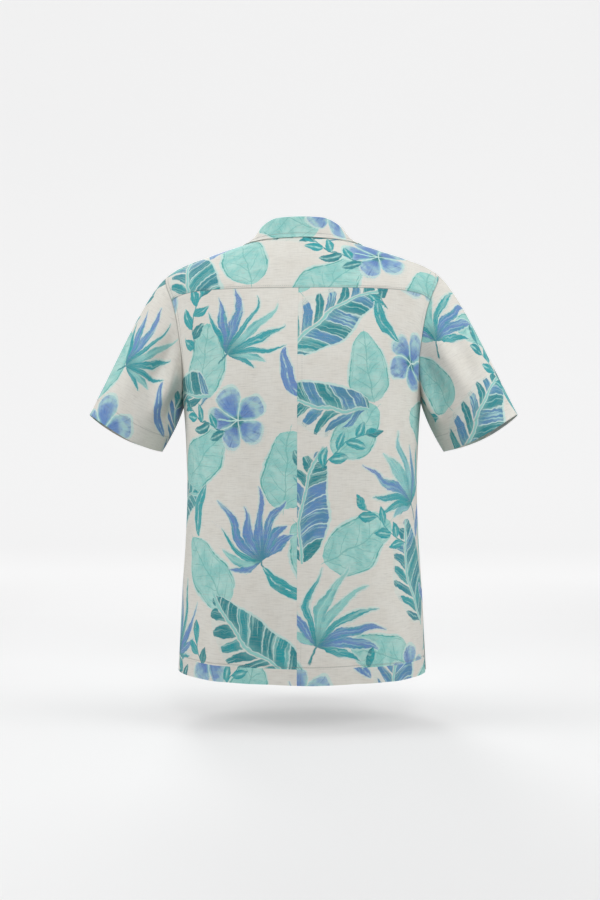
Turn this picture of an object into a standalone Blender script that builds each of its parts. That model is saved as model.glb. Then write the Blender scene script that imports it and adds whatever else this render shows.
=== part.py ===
"""Camp collar shirt with short sleeves, filled out as worn.

Metres, +Z up. The wearer's left is +X and the back is +Y. The origin lies in the
middle of the neck opening, level with the side of the neck, where shoulders hold
the shirt up. Every cloth panel is an open surface through worked-out sections,
given its wall by a Solidify modifier.
"""

import functools
import math

import bmesh
import bpy
import numpy as np
from mathutils import Vector
from mathutils.bvhtree import BVHTree

# Cloth and seams
CLOTH = 0.0013
SEAM_GAP = 0.0005
LIE = 0.0006  # clearance under a layer that lies on another

# Heights
HEM_Z = -0.680
VENT_Z = -0.615
UNDERARM_Z = -0.254
BREAK_Z = -0.135  # where the lapels start to roll
YOKE_Z = -0.085  # back yoke seam
SHOULDER_Z = -0.054

# Widths and depths
SHOULDER_HALF = 0.217
NECK_HALF = 0.077
NECK_BACK = 0.072
OVERLAP = 0.015  # each front runs this far past the centre
VENT_SET = 0.005
ARMHOLE_BACK = 0.062
ARMHOLE_FRONT = 0.058
ARMHOLE_Z = (UNDERARM_Z + SHOULDER_Z) / 2
ARMHOLE_HALF = (SHOULDER_Z - UNDERARM_Z) / 2
LEAN_RUN = 0.002  # the stretch below the yoke that gives its starting slope
FULL_NECK = 1.45  # how full the yoke's curve is, near the neck and near the armhole
FULL_ARM = 1.12

# Sleeve
SLEEVE_CENTRE = (0.2838, 0.0, -0.3049)
SLEEVE_HALF_WIDTH = 0.0649
SLEEVE_HALF_DEPTH = 0.059
SLEEVE_LEAN = math.radians(26.4)  # of the sleeve hem, from level

# Lapels and collar
LAPEL_EDGE = 0.067  # front edge of a lapel, from the break to its tip
LAPEL_ROLL = 0.0030  # how far the soft roll stands out beyond a flat lapel
ROLL_REACH = 0.030
FOLD_CLEAR = 0.0004
GORGE_Z = -0.062  # where the collar crosses the fold of the lapel
LEFT_LAPEL_START = (0.05, 0.05)  # shares of the lapel below which it isn't free
RIGHT_LAPEL_START = (0.29, 0.40)
COLLAR_TIP = (0.092, -0.098)
NOTCH = 0.55  # how far down the lapel's top edge the collar is sewn
ROLL_RADIUS = 0.0034
COLLAR_SET = 0.0012  # between the collar and a lapel
COLLAR_END = 0.003  # how far above the gorge the collar's roll ends
LAPEL_TOP = 0.005  # how far below it the lapel's fold ends

# Rows and columns of the surfaces
PANEL_ROWS_BELOW = 13
PANEL_ROWS_ABOVE = 7
BREAK_ROWS = 3
FRONT_TOP_ROWS = 6
NECK_COLUMNS = 8
SHOULDER_COLUMNS = 10
YOKE_ROWS = 7
YOKE_FRONT_ROWS = 5
SLEEVE_RINGS = 11
LAPEL_ROWS = 8
LAPEL_COLUMNS = 6
STAND_ROWS = 2
ROLL_ROWS = 4
FALL_ROWS = 4
COLLAR_COLUMNS = 22
LEAF_COLUMNS = 3

# Buttons
BUTTON_RADIUS = 0.00575
BUTTON_THICK = 0.0024
FIRST_BUTTON_Z = -0.153
BUTTON_STEP = 0.094
BUTTON_COUNT = 5
BUTTON_SIDES = 16
BUTTON_WELL = 0.0042
BUTTON_HOLES = 0.0015
HOLE_RADIUS = 0.0006
BUTTON_CLEAR = 0.0003

CREAM = (0.74, 0.70, 0.62)
PEARL = (0.80, 0.76, 0.68)


def table(columns, *rows):
    """A table with named columns, each read as an array."""
    return dict(zip(columns.split(), np.array(rows, float).T))


TORSO = table(
    "z back front square",
    (-0.680, 0.150, 0.146, 2.05),
    (-0.553, 0.148, 0.142, 2.08),
    (-0.395, 0.144, 0.138, 2.12),
    (-0.254, 0.141, 0.136, 2.20),
    (-0.200, 0.136, 0.131, 2.28),
    (-0.154, 0.127, 0.122, 2.35),
    (-0.085, 0.108, 0.098, 2.40),
)
SIDE = table(
    "z back front",
    (-0.680, 0.1975, 0.1975),
    (-0.615, 0.1940, 0.1940),
    (-0.553, 0.1910, 0.1910),
    (-0.470, 0.1855, 0.1855),
    (-0.395, 0.1830, 0.1830),
    (-0.320, 0.1850, 0.1850),
    (-0.254, 0.1895, 0.1890),
    (-0.197, 0.1965, 0.1935),
    (-0.154, 0.2060, 0.2020),
    (-0.118, 0.2130, 0.2095),
    (-0.085, 0.2185, 0.2160),
)
CREST = table(
    "x z",
    (-0.0400, 0.0170),
    (0.0000, 0.0300),
    (0.0400, 0.0170),
    (0.0780, -0.0010),
    (0.1085, -0.0110),
    (0.1700, -0.0310),
    (0.1960, -0.0410),
    (0.2100, -0.0490),
    (0.2170, -0.0540),
)
# The collar, by its share of the neck seam from the centre back: the top of its
# roll, and the outer edge of the fall.
COLLAR = table(
    "share roll_x roll_y roll_z edge_x edge_y edge_z",
    (-0.15, -0.0325, 0.0575, 0.0288, -0.0345, 0.0730, -0.0038),
    (0.00, 0.0000, 0.0655, 0.0292, 0.0000, 0.0785, -0.0035),
    (0.15, 0.0325, 0.0575, 0.0288, 0.0345, 0.0730, -0.0038),
    (0.30, 0.0540, 0.0365, 0.0205, 0.0640, 0.0590, -0.0045),
    (0.41, 0.0640, 0.0150, 0.0115, 0.0820, 0.0340, -0.0055),
    (0.51, 0.0675, -0.0080, 0.0050, 0.0960, 0.0060, -0.0075),
    (0.62, 0.0705, -0.0345, -0.0005, 0.1040, -0.0240, -0.0150),
    (0.74, 0.0715, -0.0600, -0.0145, 0.1060, -0.0500, -0.0300),
    (0.87, 0.0590, -0.0805, -0.0360, 0.1040, -0.0690, -0.0500),
    (1.00, 0.0425, -0.0915, -0.0570, 0.0990, -0.0830, -0.0720),
)
# Soft folds in the sleeve: middle and half spread round the armhole in degrees
# from the underarm by way of the back, where along the sleeve it is strongest,
# how far it runs, and its height.
SLEEVE_FOLDS = table(
    "turn spread along run rise",
    (58.0, 13.0, 0.30, 0.30, 0.0045),
    (84.0, 12.0, 0.26, 0.30, -0.0040),
    (106.0, 13.0, 0.38, 0.34, 0.0032),
    (302.0, 14.0, 0.30, 0.30, 0.0042),
    (276.0, 12.0, 0.28, 0.30, -0.0035),
    (24.0, 13.0, 0.45, 0.32, -0.0034),
    (336.0, 13.0, 0.42, 0.32, -0.0034),
)


def read(rows, column, at, key="z"):
    """A smooth value of a column between rows, with no overshoot."""
    x, y = rows[key], rows[column]
    at = min(max(at, x[0]), x[-1])
    step = np.diff(x)
    slope = np.diff(y) / step
    product = slope[:-1] * slope[1:]
    total = slope[:-1] + slope[1:]
    inner = np.where(product > 0, 2 * product / np.where(total == 0, 1, total), 0)
    tangent = np.concatenate([slope[:1], inner, slope[-1:]])
    i = min(int(np.searchsorted(x, at, "right")) - 1, len(step) - 1)
    t = (at - x[i]) / step[i]
    run = step[i]
    return float(hermite(y[i], tangent[i] * run, y[i + 1], tangent[i + 1] * run, t))


def hermite(start, leave, end, arrive, t):
    return (
        start * (2 * t**3 - 3 * t**2 + 1)
        + leave * (t**3 - 2 * t**2 + t)
        + end * (3 * t**2 - 2 * t**3)
        + arrive * (t**3 - t**2)
    )


def mix(a, b, t):
    return a + (b - a) * t


def ease(t):
    t = min(max(t, 0.0), 1.0)
    return t * t * (3 - 2 * t)


def solve(function, low, high):
    """Where a rising or falling function crosses zero."""
    rising = function(high) > function(low)
    for _ in range(40):
        middle = (low + high) / 2
        if (function(middle) > 0) == rising:
            high = middle
        else:
            low = middle
    return (low + high) / 2


# The trunk's surface: side is +1 for the back and -1 for the front, and a fraction
# runs from 0 at the centre to 1 at the side seam or armhole.


def side_column(side):
    return "back" if side > 0 else "front"


def armhole_turn(z):
    """Angle round the armhole, from 0 at the underarm to pi at the shoulder."""
    return math.acos(min(max((ARMHOLE_Z - z) / ARMHOLE_HALF, -1.0), 1.0))


def armhole_reach(side, z):
    """How far behind or before the shoulder the armhole seam lies at a height."""
    if z <= UNDERARM_Z:
        return 0.0
    return (ARMHOLE_BACK if side > 0 else ARMHOLE_FRONT) * math.sin(armhole_turn(z))


@functools.cache
def section(side, z):
    """Half width, depth, squareness and edge angle of the trunk's section."""
    half, depth = read(SIDE, side_column(side), z), read(TORSO, side_column(side), z)
    power = read(TORSO, "square", z)
    edge = math.acos((armhole_reach(side, z) / depth) ** (power / 2))
    return half, depth, power, edge


@functools.cache
def trunk(side, z, fraction):
    """A point of the trunk at or below the back yoke seam."""
    half, depth, power, edge = section(side, z)
    angle = abs(fraction) * edge
    x = half * math.sin(angle) ** (2 / power)
    y = depth * max(math.cos(angle), 0.0) ** (2 / power)
    return np.array([math.copysign(x, fraction), side * y, z])


def armhole(turn):
    """A point of the left armhole seam, for an angle from the underarm by way of the back."""
    side = 1 if math.sin(turn) >= 0 else -1
    z = ARMHOLE_Z - ARMHOLE_HALF * math.cos(turn)
    x = trunk(side, min(z, YOKE_Z), 1.0)[0]
    if z > YOKE_Z:
        climb = SHOULDER_Z - YOKE_Z
        widening = (x - trunk(side, YOKE_Z - LEAN_RUN, 1.0)[0]) / LEAN_RUN * climb
        x = hermite(x, widening, SHOULDER_HALF, 0.0, (z - YOKE_Z) / climb)
    return np.array([x, side * armhole_reach(side, z), z])


def fraction_at(side, z, x):
    half, _, power, edge = section(side, z)
    share = math.asin(min(abs(x) / half, 1.0) ** (power / 2)) / edge
    return math.copysign(share, x)


def crest_x(side, fraction):
    """How far from the centre a column stands on the shoulder's crest."""
    foot, edge = trunk(side, YOKE_Z, fraction), trunk(side, YOKE_Z, 1.0)
    return foot[0] * SHOULDER_HALF / edge[0]


@functools.cache
def shoulder(side, fraction, rise):
    """A point above the yoke seam's level: rise is 0 there and 1 on the shoulder's crest."""
    foot, edge = trunk(side, YOKE_Z, fraction), trunk(side, YOKE_Z, 1.0)
    slope = (foot - trunk(side, YOKE_Z - LEAN_RUN, fraction)) / LEAN_RUN
    top = read(CREST, "z", abs(crest_x(side, fraction)), "x")
    full = mix(FULL_NECK, FULL_ARM, abs(fraction)) * math.hypot(foot[1], top - YOKE_Z)
    lean = np.array([abs(foot[1]), YOKE_Z]), np.array([side * slope[1], 1.0])
    low = armhole_turn(YOKE_Z)
    weight = abs(fraction) ** 6

    def place(rise):
        turn = mix(low, math.pi, rise)
        seam_x, _, seam_z = armhole(turn if side > 0 else -turn)
        seam_y = abs(foot[1]) * math.sin(turn) / math.sin(low)
        seam_z = mix(YOKE_Z, top, (seam_z - YOKE_Z) / (SHOULDER_Z - YOKE_Z))
        leave = lean[1] / np.linalg.norm(lean[1]) * full
        y, z = hermite(lean[0], leave, np.array([0.0, top]), np.array([-full, 0.0]), rise)
        x = foot[0] * seam_x / edge[0]
        return np.array([x, side * mix(y, seam_y, weight), mix(z, seam_z, weight)])

    pace = (place(0.001) - place(0.0)) / 0.001
    wanted = slope / np.linalg.norm(slope) * np.linalg.norm(pace)
    return place(rise) + (wanted - pace) * rise * (1 - rise) ** 2


def front_seam_rise(fraction):
    """How far up the shoulder the yoke's front seam lies."""
    return mix(0.62, 0.14, abs(fraction) ** 2)


# Open surfaces and their walls


def surface(name, *grids):
    """A mesh through one or more grids of points, joined where they meet."""
    shape = bmesh.new()
    for grid in grids:
        rows = [[shape.verts.new(point) for point in row] for row in grid]
        for low, high in zip(rows, rows[1:]):
            for i in range(len(low) - 1):
                shape.faces.new((low[i], low[i + 1], high[i + 1], high[i]))
    bmesh.ops.remove_doubles(shape, verts=shape.verts, dist=1e-6)
    mesh = bpy.data.meshes.new(name)
    shape.to_mesh(mesh)
    shape.free()
    return mesh


def inward(edge):
    """The way from an open edge into its surface."""
    start, end = (point.co for point in edge.verts)
    along = (end - start).normalized()
    across = edge.link_faces[0].calc_center_median() - start
    return (across - along * across.dot(along)).normalized()


def set_back_edges(mesh, gap):
    """Draws the open edges of a surface back from its seams."""
    shape = bmesh.new()
    shape.from_mesh(mesh)
    moves = []
    for point in shape.verts:
        if point.is_boundary:
            one, other = (inward(edge) for edge in point.link_edges if edge.is_boundary)
            moves.append((point, (one + other) * gap / (1 + one.dot(other))))
    for point, move in moves:
        point.co += move
    shape.to_mesh(mesh)
    shape.free()


def finish_material(name, colour, roughness):
    material = bpy.data.materials.new(name)
    material.use_nodes = True
    finish = material.node_tree.nodes["Principled BSDF"]
    finish.inputs["Base Color"].default_value = (*colour, 1.0)
    finish.inputs["Roughness"].default_value = roughness
    return material


def add_piece(name, mesh, material, collection):
    piece = bpy.data.objects.new(name, mesh)
    mesh.materials.append(material)
    mesh.shade_smooth()
    collection.objects.link(piece)
    return piece


def add_wall(piece, thickness):
    wall = piece.modifiers.new("Cloth", "SOLIDIFY")
    wall.thickness = thickness
    wall.offset = -1.0
    wall.use_even_offset = True


def mirrored(grid):
    """The same piece on the wearer's right, with its faces still outward."""
    return [[point * (-1, 1, 1) for point in row][::-1] for row in grid]


# Panels


def panel_turns():
    """Angles round the armhole at a panel's rows, from the underarm to the yoke seam."""
    middle, high = armhole_turn(BREAK_Z), armhole_turn(YOKE_Z)
    upper = np.linspace(middle, high, BREAK_ROWS + 1)[1:]
    return list(np.linspace(0.0, middle, PANEL_ROWS_ABOVE + 1)) + list(upper)


def panel_heights():
    """Row heights from the hem to the yoke seam, close together at the underarm."""
    lower = np.linspace(HEM_Z, UNDERARM_Z, PANEL_ROWS_BELOW + 1)
    upper = [ARMHOLE_Z - ARMHOLE_HALF * math.cos(turn) for turn in panel_turns()[1:]]
    return list(lower) + upper


def vent_shift(z):
    """How far the back's side edge stands in at the open vents."""
    return VENT_SET * ease((VENT_Z - z) / 0.03)


def back_grid():
    inner, outer = yoke_fractions()
    grid = []
    for z in panel_heights():
        row = [trunk(1, z, f) for f in inner[:-1] + outer]
        row[-1] = row[-1] - (vent_shift(z), -vent_shift(z), 0)
        grid.append(row[::-1])
    return grid


def neck_rise(fraction):
    """Where a back yoke column meets the neck edge."""
    if abs(crest_x(1, fraction)) >= NECK_HALF:
        return 1.0

    def past(rise):
        x, y, _ = shoulder(1, fraction, rise)
        return (x / NECK_HALF) ** 2 + (max(y, 0) / NECK_BACK) ** 2 - 1

    return solve(past, 0.2, 1.0)


def yoke_fractions():
    """Fractions of the columns from the centre to the neck's side, and on to the armhole."""
    neck = fraction_at(1, YOKE_Z, NECK_HALF * trunk(1, YOKE_Z, 1.0)[0] / SHOULDER_HALF)
    turns = np.linspace(0, math.pi / 2, NECK_COLUMNS + 1)
    inner = [neck * math.sin(turn) for turn in turns]
    return inner, list(np.linspace(neck, 1.0, SHOULDER_COLUMNS + 1))


def front_fractions():
    """The front's own fractions for the columns that meet the back's on the crest."""
    narrower = trunk(-1, YOKE_Z, 1.0)[0] / SHOULDER_HALF
    crest = [crest_x(1, fraction) for fraction in yoke_fractions()[1]]
    return [fraction_at(-1, YOKE_Z, x * narrower) for x in crest]


def yoke_front_column(fraction):
    """A column of the yoke from the shoulder's crest down to its front seam."""
    rises = np.linspace(1.0, front_seam_rise(fraction), YOKE_FRONT_ROWS + 1)
    return [shoulder(-1, fraction, rise) for rise in rises]


def yoke_grids():
    inner, outer = yoke_fractions()
    half = inner[:-1] + outer
    rises = np.linspace(0, 1, YOKE_ROWS + 1)
    back = [
        [shoulder(1, f, neck_rise(f) * rise) for rise in rises]
        for f in [-f for f in half[:0:-1]] + half
    ]
    left = [yoke_front_column(fraction) for fraction in front_fractions()]
    right = [[point * (-1, 1, 1) for point in row] for row in left][::-1]
    return back, left, right


def roll_line():
    """Ends of the fold of a front: at the break, and at the yoke's front seam."""
    top = yoke_front_column(front_fractions()[0])[-1]
    return np.array([-OVERLAP, BREAK_Z]), np.array([top[0], top[2]])


def roll_x(z):
    """The inner edge of the left front at a height."""
    low, high = roll_line()
    return mix(low[0], high[0], max(z - low[1], 0.0) / (high[1] - low[1]))


def front_lift(x, lift):
    """How far a front stands out over the one below it, near the centre."""
    return lift * (1 - ease((x - 0.030) / 0.035))


def front_grid(lift):
    """The left front, or with no lift the one that lies under it, as its mirror image."""
    seam = front_fractions()
    shares = [(fraction - seam[0]) / (1 - seam[0]) for fraction in seam]
    grid = []
    for z in panel_heights():
        inner = fraction_at(-1, z, roll_x(z))
        grid.append([trunk(-1, z, mix(inner, 1.0, s)) for s in shares])
    for part in np.linspace(0, 1, FRONT_TOP_ROWS + 1)[1:]:

        def outside(fraction):
            point = shoulder(-1, fraction, part * front_seam_rise(fraction))
            return point[0] - roll_x(point[2])

        inner = solve(outside, 0.05, 0.9)
        fractions = [mix(inner, 1.0, s) for s in shares]
        grid.append([shoulder(-1, f, part * front_seam_rise(f)) for f in fractions])
    return [[point - (0, front_lift(point[0], lift), 0) for point in row] for row in grid]


def sleeve_turns():
    """Angles round the armhole at every point that the panels and the yoke have there."""
    yoke_low = armhole_turn(YOKE_Z)
    back = panel_turns() + list(np.linspace(yoke_low, math.pi, YOKE_ROWS + 1)[1:])
    seam = mix(yoke_low, math.pi, front_seam_rise(1.0))
    front = panel_turns() + list(np.linspace(seam, math.pi, YOKE_FRONT_ROWS + 1)[:-1])
    return back + [2 * math.pi - turn for turn in front[::-1]]


def sleeve_grid():
    """Rings of the left sleeve from the armhole to its hem."""
    centre = np.array(SLEEVE_CENTRE)
    across = np.array([math.cos(SLEEVE_LEAN), 0, math.sin(SLEEVE_LEAN)])
    turns = sleeve_turns()
    grid = []
    for along in np.linspace(0, 1, SLEEVE_RINGS + 1) ** 1.15:
        ring = []
        for turn in turns:
            under = (1 + math.cos(turn)) / 2
            start = armhole(turn)
            end = centre - across * SLEEVE_HALF_WIDTH * math.cos(turn)
            end = end + np.array([0, 1, 0.026]) * SLEEVE_HALF_DEPTH * math.sin(turn)
            leave = mix(np.array([0.101, 0, -0.082]), np.array([0.020, 0, -0.076]), under)
            leave = leave + np.array([0, 0.022, 0]) * math.sin(turn)
            arrive = mix(np.array([0.120, 0, -0.225]), np.array([0.058, 0, -0.095]), under)
            point = hermite(start, leave, end, arrive, along)
            axis = mix(np.array([0.200, 0, -0.154]), centre, along)
            outward = (point - axis) / np.linalg.norm(point - axis)
            ring.append(point + outward * sleeve_fold(math.degrees(turn), along))
        ring[-1] = ring[0]
        grid.append(ring)
    return grid


def sleeve_fold(degrees, along):
    rise = 0.0
    for turn, spread, middle, run, height in zip(*SLEEVE_FOLDS.values()):
        away = (degrees - turn + 180) % 360 - 180
        length = max(1 - ((along - middle) / run) ** 2, 0.0) ** 2
        rise += height * length * math.exp(-((away / spread) ** 2))
    return rise


# Lapels, collar and buttons, which lie on the panels


def surface_tree(*grids):
    """The panels' outer faces, for laying other pieces on them."""
    points, faces = [], []
    for grid in grids:
        wide = len(grid[0])
        for i in range(len(grid) - 1):
            for j in range(wide - 1):
                corner = len(points) + i * wide + j
                faces.append((corner, corner + 1, corner + wide + 1, corner + wide))
        points += [Vector(point) for row in grid for point in row]
    return BVHTree.FromPolygons(points, faces)


def found_on_front(x, z, tree):
    """The point of a front at a place in front view, and the way out from it."""
    hit, normal, _, _ = tree.ray_cast(Vector((x, -0.4, z)), Vector((0, 1, 0)))
    return hit, normal


def laid_on_front(x, z, tree, lift):
    hit, normal = found_on_front(x, z, tree)
    return np.array(hit + normal * lift)


def clear_of(point, tree, clearance):
    """A point moved out until it clears a surface."""
    hit, normal, _, _ = tree.find_nearest(Vector(point))
    out = (Vector(point) - hit).dot(normal)
    if out >= clearance:
        return point
    return np.array(Vector(point) + normal * (clearance - out))


def on_roll(z):
    low, high = roll_line()
    return mix(low, high, (z - low[1]) / (high[1] - low[1]))


def lapel_corners():
    """Front-view corners: the break, the tip, and where the lapel's fold ends."""
    low, high = roll_line()
    fold = (high - low) / np.linalg.norm(high - low)
    edge = np.array([0.0, LAPEL_EDGE])
    tip = low + 2 * np.dot(edge, fold) * fold - edge
    return low, tip, on_roll(GORGE_Z - LAPEL_TOP)


def lapel_grid(tree, start_inner, start_outer):
    """Rows across the left lapel, from the break to its top edge."""
    low, tip, top = lapel_corners()
    grid = []
    for share in np.linspace(0, 1, LAPEL_ROWS + 1):
        row = []
        for across in np.linspace(0, 1, LAPEL_COLUMNS + 1):
            along = mix(mix(start_inner, start_outer, across), 1.0, share)
            x, z = mix(mix(low, top, along), mix(low, tip, along), across)
            soft = LAPEL_ROLL * (1 - ease(across * along * LAPEL_EDGE / ROLL_REACH))
            row.append(laid_on_front(x + FOLD_CLEAR, z, tree, CLOTH + LIE + soft))
        grid.append(row)
    return grid


def neck_path():
    """The neck seam from the centre back round to where the collar ends on the fold."""
    inner, _ = yoke_fractions()
    back = [shoulder(1, f, neck_rise(f)) for f in inner]
    side = yoke_front_column(front_fractions()[0])
    fold = [row[0] for row in front_grid(0.0)][::-1]
    heights = [-point[2] for point in fold]
    end = -(GORGE_Z + COLLAR_END)
    last = np.array([np.interp(end, heights, [point[i] for point in fold]) for i in range(3)])
    return np.array(back + side[1:] + [p for p in fold[1:] if -p[2] < end] + [last])


def walk(path, share):
    """The point at a share of a path's length."""
    steps = np.linalg.norm(np.diff(path, axis=0), axis=1)
    reach = np.concatenate([[0], np.cumsum(steps)])
    return np.array([np.interp(share * reach[-1], reach, path[:, i]) for i in range(3)])


def collar_section(share, path, tree):
    """Points across the folded collar: up the stand, over the roll and down the fall."""
    seam = walk(path, share)
    roll = np.array([read(COLLAR, "roll_" + axis, share, "share") for axis in "xyz"])
    edge = np.array([read(COLLAR, "edge_" + axis, share, "share") for axis in "xyz"])
    tall = np.linalg.norm(roll - seam)
    up = (roll - seam) / tall
    _, normal, _, _ = tree.find_nearest(Vector(seam))
    across = np.array(normal) - up * np.dot(normal, up)
    across = across / np.linalg.norm(across)
    foot = seam - across * (CLOTH + SEAM_GAP / 2)
    radius = min(ROLL_RADIUS, tall * 0.45)
    top = foot + up * (tall - radius)
    centre = top + across * radius
    fall = edge - centre
    turn = math.atan2(np.dot(fall, across), np.dot(fall, up)) % (2 * math.pi)
    turn -= math.asin(min(radius / np.linalg.norm(fall), 1.0))
    points = [mix(foot, top, t) for t in np.linspace(0, 1, STAND_ROWS + 1)]
    for angle in np.linspace(0, turn, ROLL_ROWS + 1)[1:]:
        points.append(centre + radius * (up * math.sin(angle) - across * math.cos(angle)))
    last = points[-1]
    for t in np.linspace(0, 1, FALL_ROWS + 1)[1:]:
        points.append(clear_of(mix(last, edge, t), tree, CLOTH + LIE))
    return points


def collar_leaf(start, tree):
    """The collar in front of its last section, down to its front edge."""
    tip, gorge = lapel_corners()[1], on_roll(GORGE_Z)
    along = (tip - gorge) / np.linalg.norm(tip - gorge)
    notch = mix(gorge, tip, NOTCH) + np.array([-along[1], along[0]]) * COLLAR_SET
    end = []
    for t in np.linspace(0, 1, len(start)):
        x, z = mix(notch, np.array(COLLAR_TIP), t)
        end.append(laid_on_front(x, z, tree, CLOTH + LIE))
    grid = [start]
    for t in np.linspace(0, 1, LEAF_COLUMNS + 1)[1:]:
        grid.append([clear_of(mix(a, b, t), tree, CLOTH + LIE) for a, b in zip(start, end)])
    return grid


def collar_grids(tree):
    path = neck_path()
    shares = np.linspace(0, 1, COLLAR_COLUMNS + 1)
    left = [collar_section(share, path, tree) for share in shares]
    right = [[point * (-1, 1, 1) for point in row] for row in left[:0:-1]]
    leaf = collar_leaf(left[-1][STAND_ROWS + ROLL_ROWS // 2 :], tree)
    other = [[point * (-1, 1, 1) for point in row] for row in leaf[::-1]]
    return right + left, leaf, other


def button_mesh(material):
    """A turned disc with a sunk face and four holes, lying with its face to -Y."""
    profile = bpy.data.meshes.new("button_profile")
    edge = BUTTON_THICK * 0.3
    outline = (
        (0.0, 0.0),
        (BUTTON_RADIUS - edge, 0.0),
        (BUTTON_RADIUS, edge),
        (BUTTON_RADIUS, BUTTON_THICK - edge),
        (BUTTON_RADIUS - edge, BUTTON_THICK),
        (BUTTON_WELL, BUTTON_THICK),
        (BUTTON_WELL - edge, BUTTON_THICK - edge),
        (0.0, BUTTON_THICK - edge),
    )
    profile.from_pydata(
        [(x, 0, z) for x, z in outline[::-1]],
        [(i, i + 1) for i in range(len(outline) - 1)],
        [],
    )
    disc = bpy.data.objects.new("button_blank", profile)
    bpy.context.scene.collection.objects.link(disc)
    turn = disc.modifiers.new("Turn", "SCREW")
    turn.steps = turn.render_steps = BUTTON_SIDES
    turn.use_merge_vertices = True
    turn.merge_threshold = 0.00001
    cutters = []
    for i in range(4):
        angle = math.pi / 4 + i * math.pi / 2
        place = (BUTTON_HOLES * math.cos(angle), BUTTON_HOLES * math.sin(angle), 0.001)
        bpy.ops.mesh.primitive_cylinder_add(vertices=8, radius=HOLE_RADIUS, depth=0.01, location=place)
        cutters.append(bpy.context.object)
        hole = disc.modifiers.new("Hole", "BOOLEAN")
        hole.object = cutters[-1]
    bpy.context.view_layer.update()
    mesh = bpy.data.meshes.new_from_object(
        disc.evaluated_get(bpy.context.evaluated_depsgraph_get())
    )
    for helper in (disc, *cutters):
        bpy.data.objects.remove(helper)
    mesh.name = "button"
    mesh.materials.clear()
    mesh.materials.append(material)
    mesh.set_sharp_from_angle(angle=math.radians(40))
    return mesh


def main():
    for old in list(bpy.data.objects):
        bpy.data.objects.remove(old)
    shirt = bpy.data.collections.new("camp_collar_shirt")
    bpy.context.scene.collection.children.link(shirt)

    def panel(name, *grids):
        mesh = surface(name, *grids)
        set_back_edges(mesh, SEAM_GAP / 2)
        material = finish_material(name + "_cloth", CREAM, 0.85)
        piece = add_piece(name, mesh, material, shirt)
        add_wall(piece, CLOTH)

    back, yoke = back_grid(), yoke_grids()
    left, right = front_grid(CLOTH + LIE), mirrored(front_grid(0.0))
    sleeve = sleeve_grid()
    panel("back_left", back)
    panel("back_right", mirrored(back))
    panel("yoke", *yoke)
    panel("front_left", left)
    panel("front_right", right)
    panel("sleeve_left", sleeve)
    panel("sleeve_right", mirrored(sleeve))

    body = surface_tree(left, right)
    panel("lapel_left", lapel_grid(body, *LEFT_LAPEL_START))
    own_side = surface_tree(front_grid(0.0))
    panel("lapel_right", mirrored(lapel_grid(own_side, *RIGHT_LAPEL_START)))
    panel("collar", *collar_grids(surface_tree(*yoke, left, mirrored(left))))

    button = button_mesh(finish_material("button_shell", PEARL, 0.3))
    for i in range(BUTTON_COUNT):
        seat, out = found_on_front(0.0, FIRST_BUTTON_Z - i * BUTTON_STEP, body)
        piece = bpy.data.objects.new(f"button_{i + 1}", button)
        piece.location = seat + out * BUTTON_CLEAR
        piece.rotation_euler = out.to_track_quat("Z", "Y").to_euler()
        shirt.objects.link(piece)


main()
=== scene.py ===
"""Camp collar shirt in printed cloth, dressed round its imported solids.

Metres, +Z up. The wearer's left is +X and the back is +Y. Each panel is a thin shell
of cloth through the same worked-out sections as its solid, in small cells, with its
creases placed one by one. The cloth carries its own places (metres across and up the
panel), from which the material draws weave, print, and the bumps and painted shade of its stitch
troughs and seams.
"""

import functools
import math

import bpy
import numpy as np
from mathutils import Matrix, Vector
from mathutils.bvhtree import BVHTree


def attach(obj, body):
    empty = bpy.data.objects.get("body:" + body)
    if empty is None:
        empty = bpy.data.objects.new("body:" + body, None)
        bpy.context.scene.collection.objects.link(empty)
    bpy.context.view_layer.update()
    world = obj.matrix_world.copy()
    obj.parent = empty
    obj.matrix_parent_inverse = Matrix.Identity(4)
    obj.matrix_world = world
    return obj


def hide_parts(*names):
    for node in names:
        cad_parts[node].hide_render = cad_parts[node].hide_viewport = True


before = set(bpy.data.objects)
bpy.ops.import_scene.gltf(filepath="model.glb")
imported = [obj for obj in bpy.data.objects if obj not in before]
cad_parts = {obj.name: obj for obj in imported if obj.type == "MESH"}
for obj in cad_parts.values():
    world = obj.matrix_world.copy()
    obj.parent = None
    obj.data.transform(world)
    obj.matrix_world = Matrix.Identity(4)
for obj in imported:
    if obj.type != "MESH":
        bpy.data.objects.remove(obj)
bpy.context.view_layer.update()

# Cloth and seams
CLOTH = 0.0013  # the solids' wall, which sets how far layers stand off each other
LIE = 0.0006
PLY = 0.0005  # one layer of the shown cloth
TWO_PLY = 0.0011
JOIN_GRAIN = 2e6  # points of one cloth closer than half a micron are one point
CLOTH_SHARP = math.radians(55)

# Heights
HEM_Z = -0.680
VENT_Z = -0.615
UNDERARM_Z = -0.254
BREAK_Z = -0.135
YOKE_Z = -0.085
YOKE_DROP = 0.013  # how much lower the yoke's back seam meets the armhole
SHOULDER_Z = -0.054

# Widths and depths
SHOULDER_HALF = 0.217
NECK_HALF = 0.077
NECK_BACK = 0.072
OVERLAP = 0.015
VENT_SET = 0.005
ARMHOLE_BACK = 0.062
ARMHOLE_FRONT = 0.058
ARMHOLE_Z = (UNDERARM_Z + SHOULDER_Z) / 2
ARMHOLE_HALF = (SHOULDER_Z - UNDERARM_Z) / 2
LEAN_RUN = 0.002
FULL_NECK = 1.45
FULL_ARM = 1.12
ARM_PULL = 6  # the power of a column's fraction by which the armhole takes hold of it
YOKE_BEND = 4  # and the one by which the back yoke seam bends down
FRONT_SEAM_RISES = 0.62, 0.14  # up the shoulder, at the neck and at the armhole
VENT_EASE = 0.03
VENT_FROM, VENT_OVER = 0.9, 0.1  # the share of the back that gives way at its vent
CENTRE_CROWD = 1.2
LIFT_FROM, LIFT_OVER = 0.030, 0.035
NECK_SEARCH = 0.2, 1.0
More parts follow.
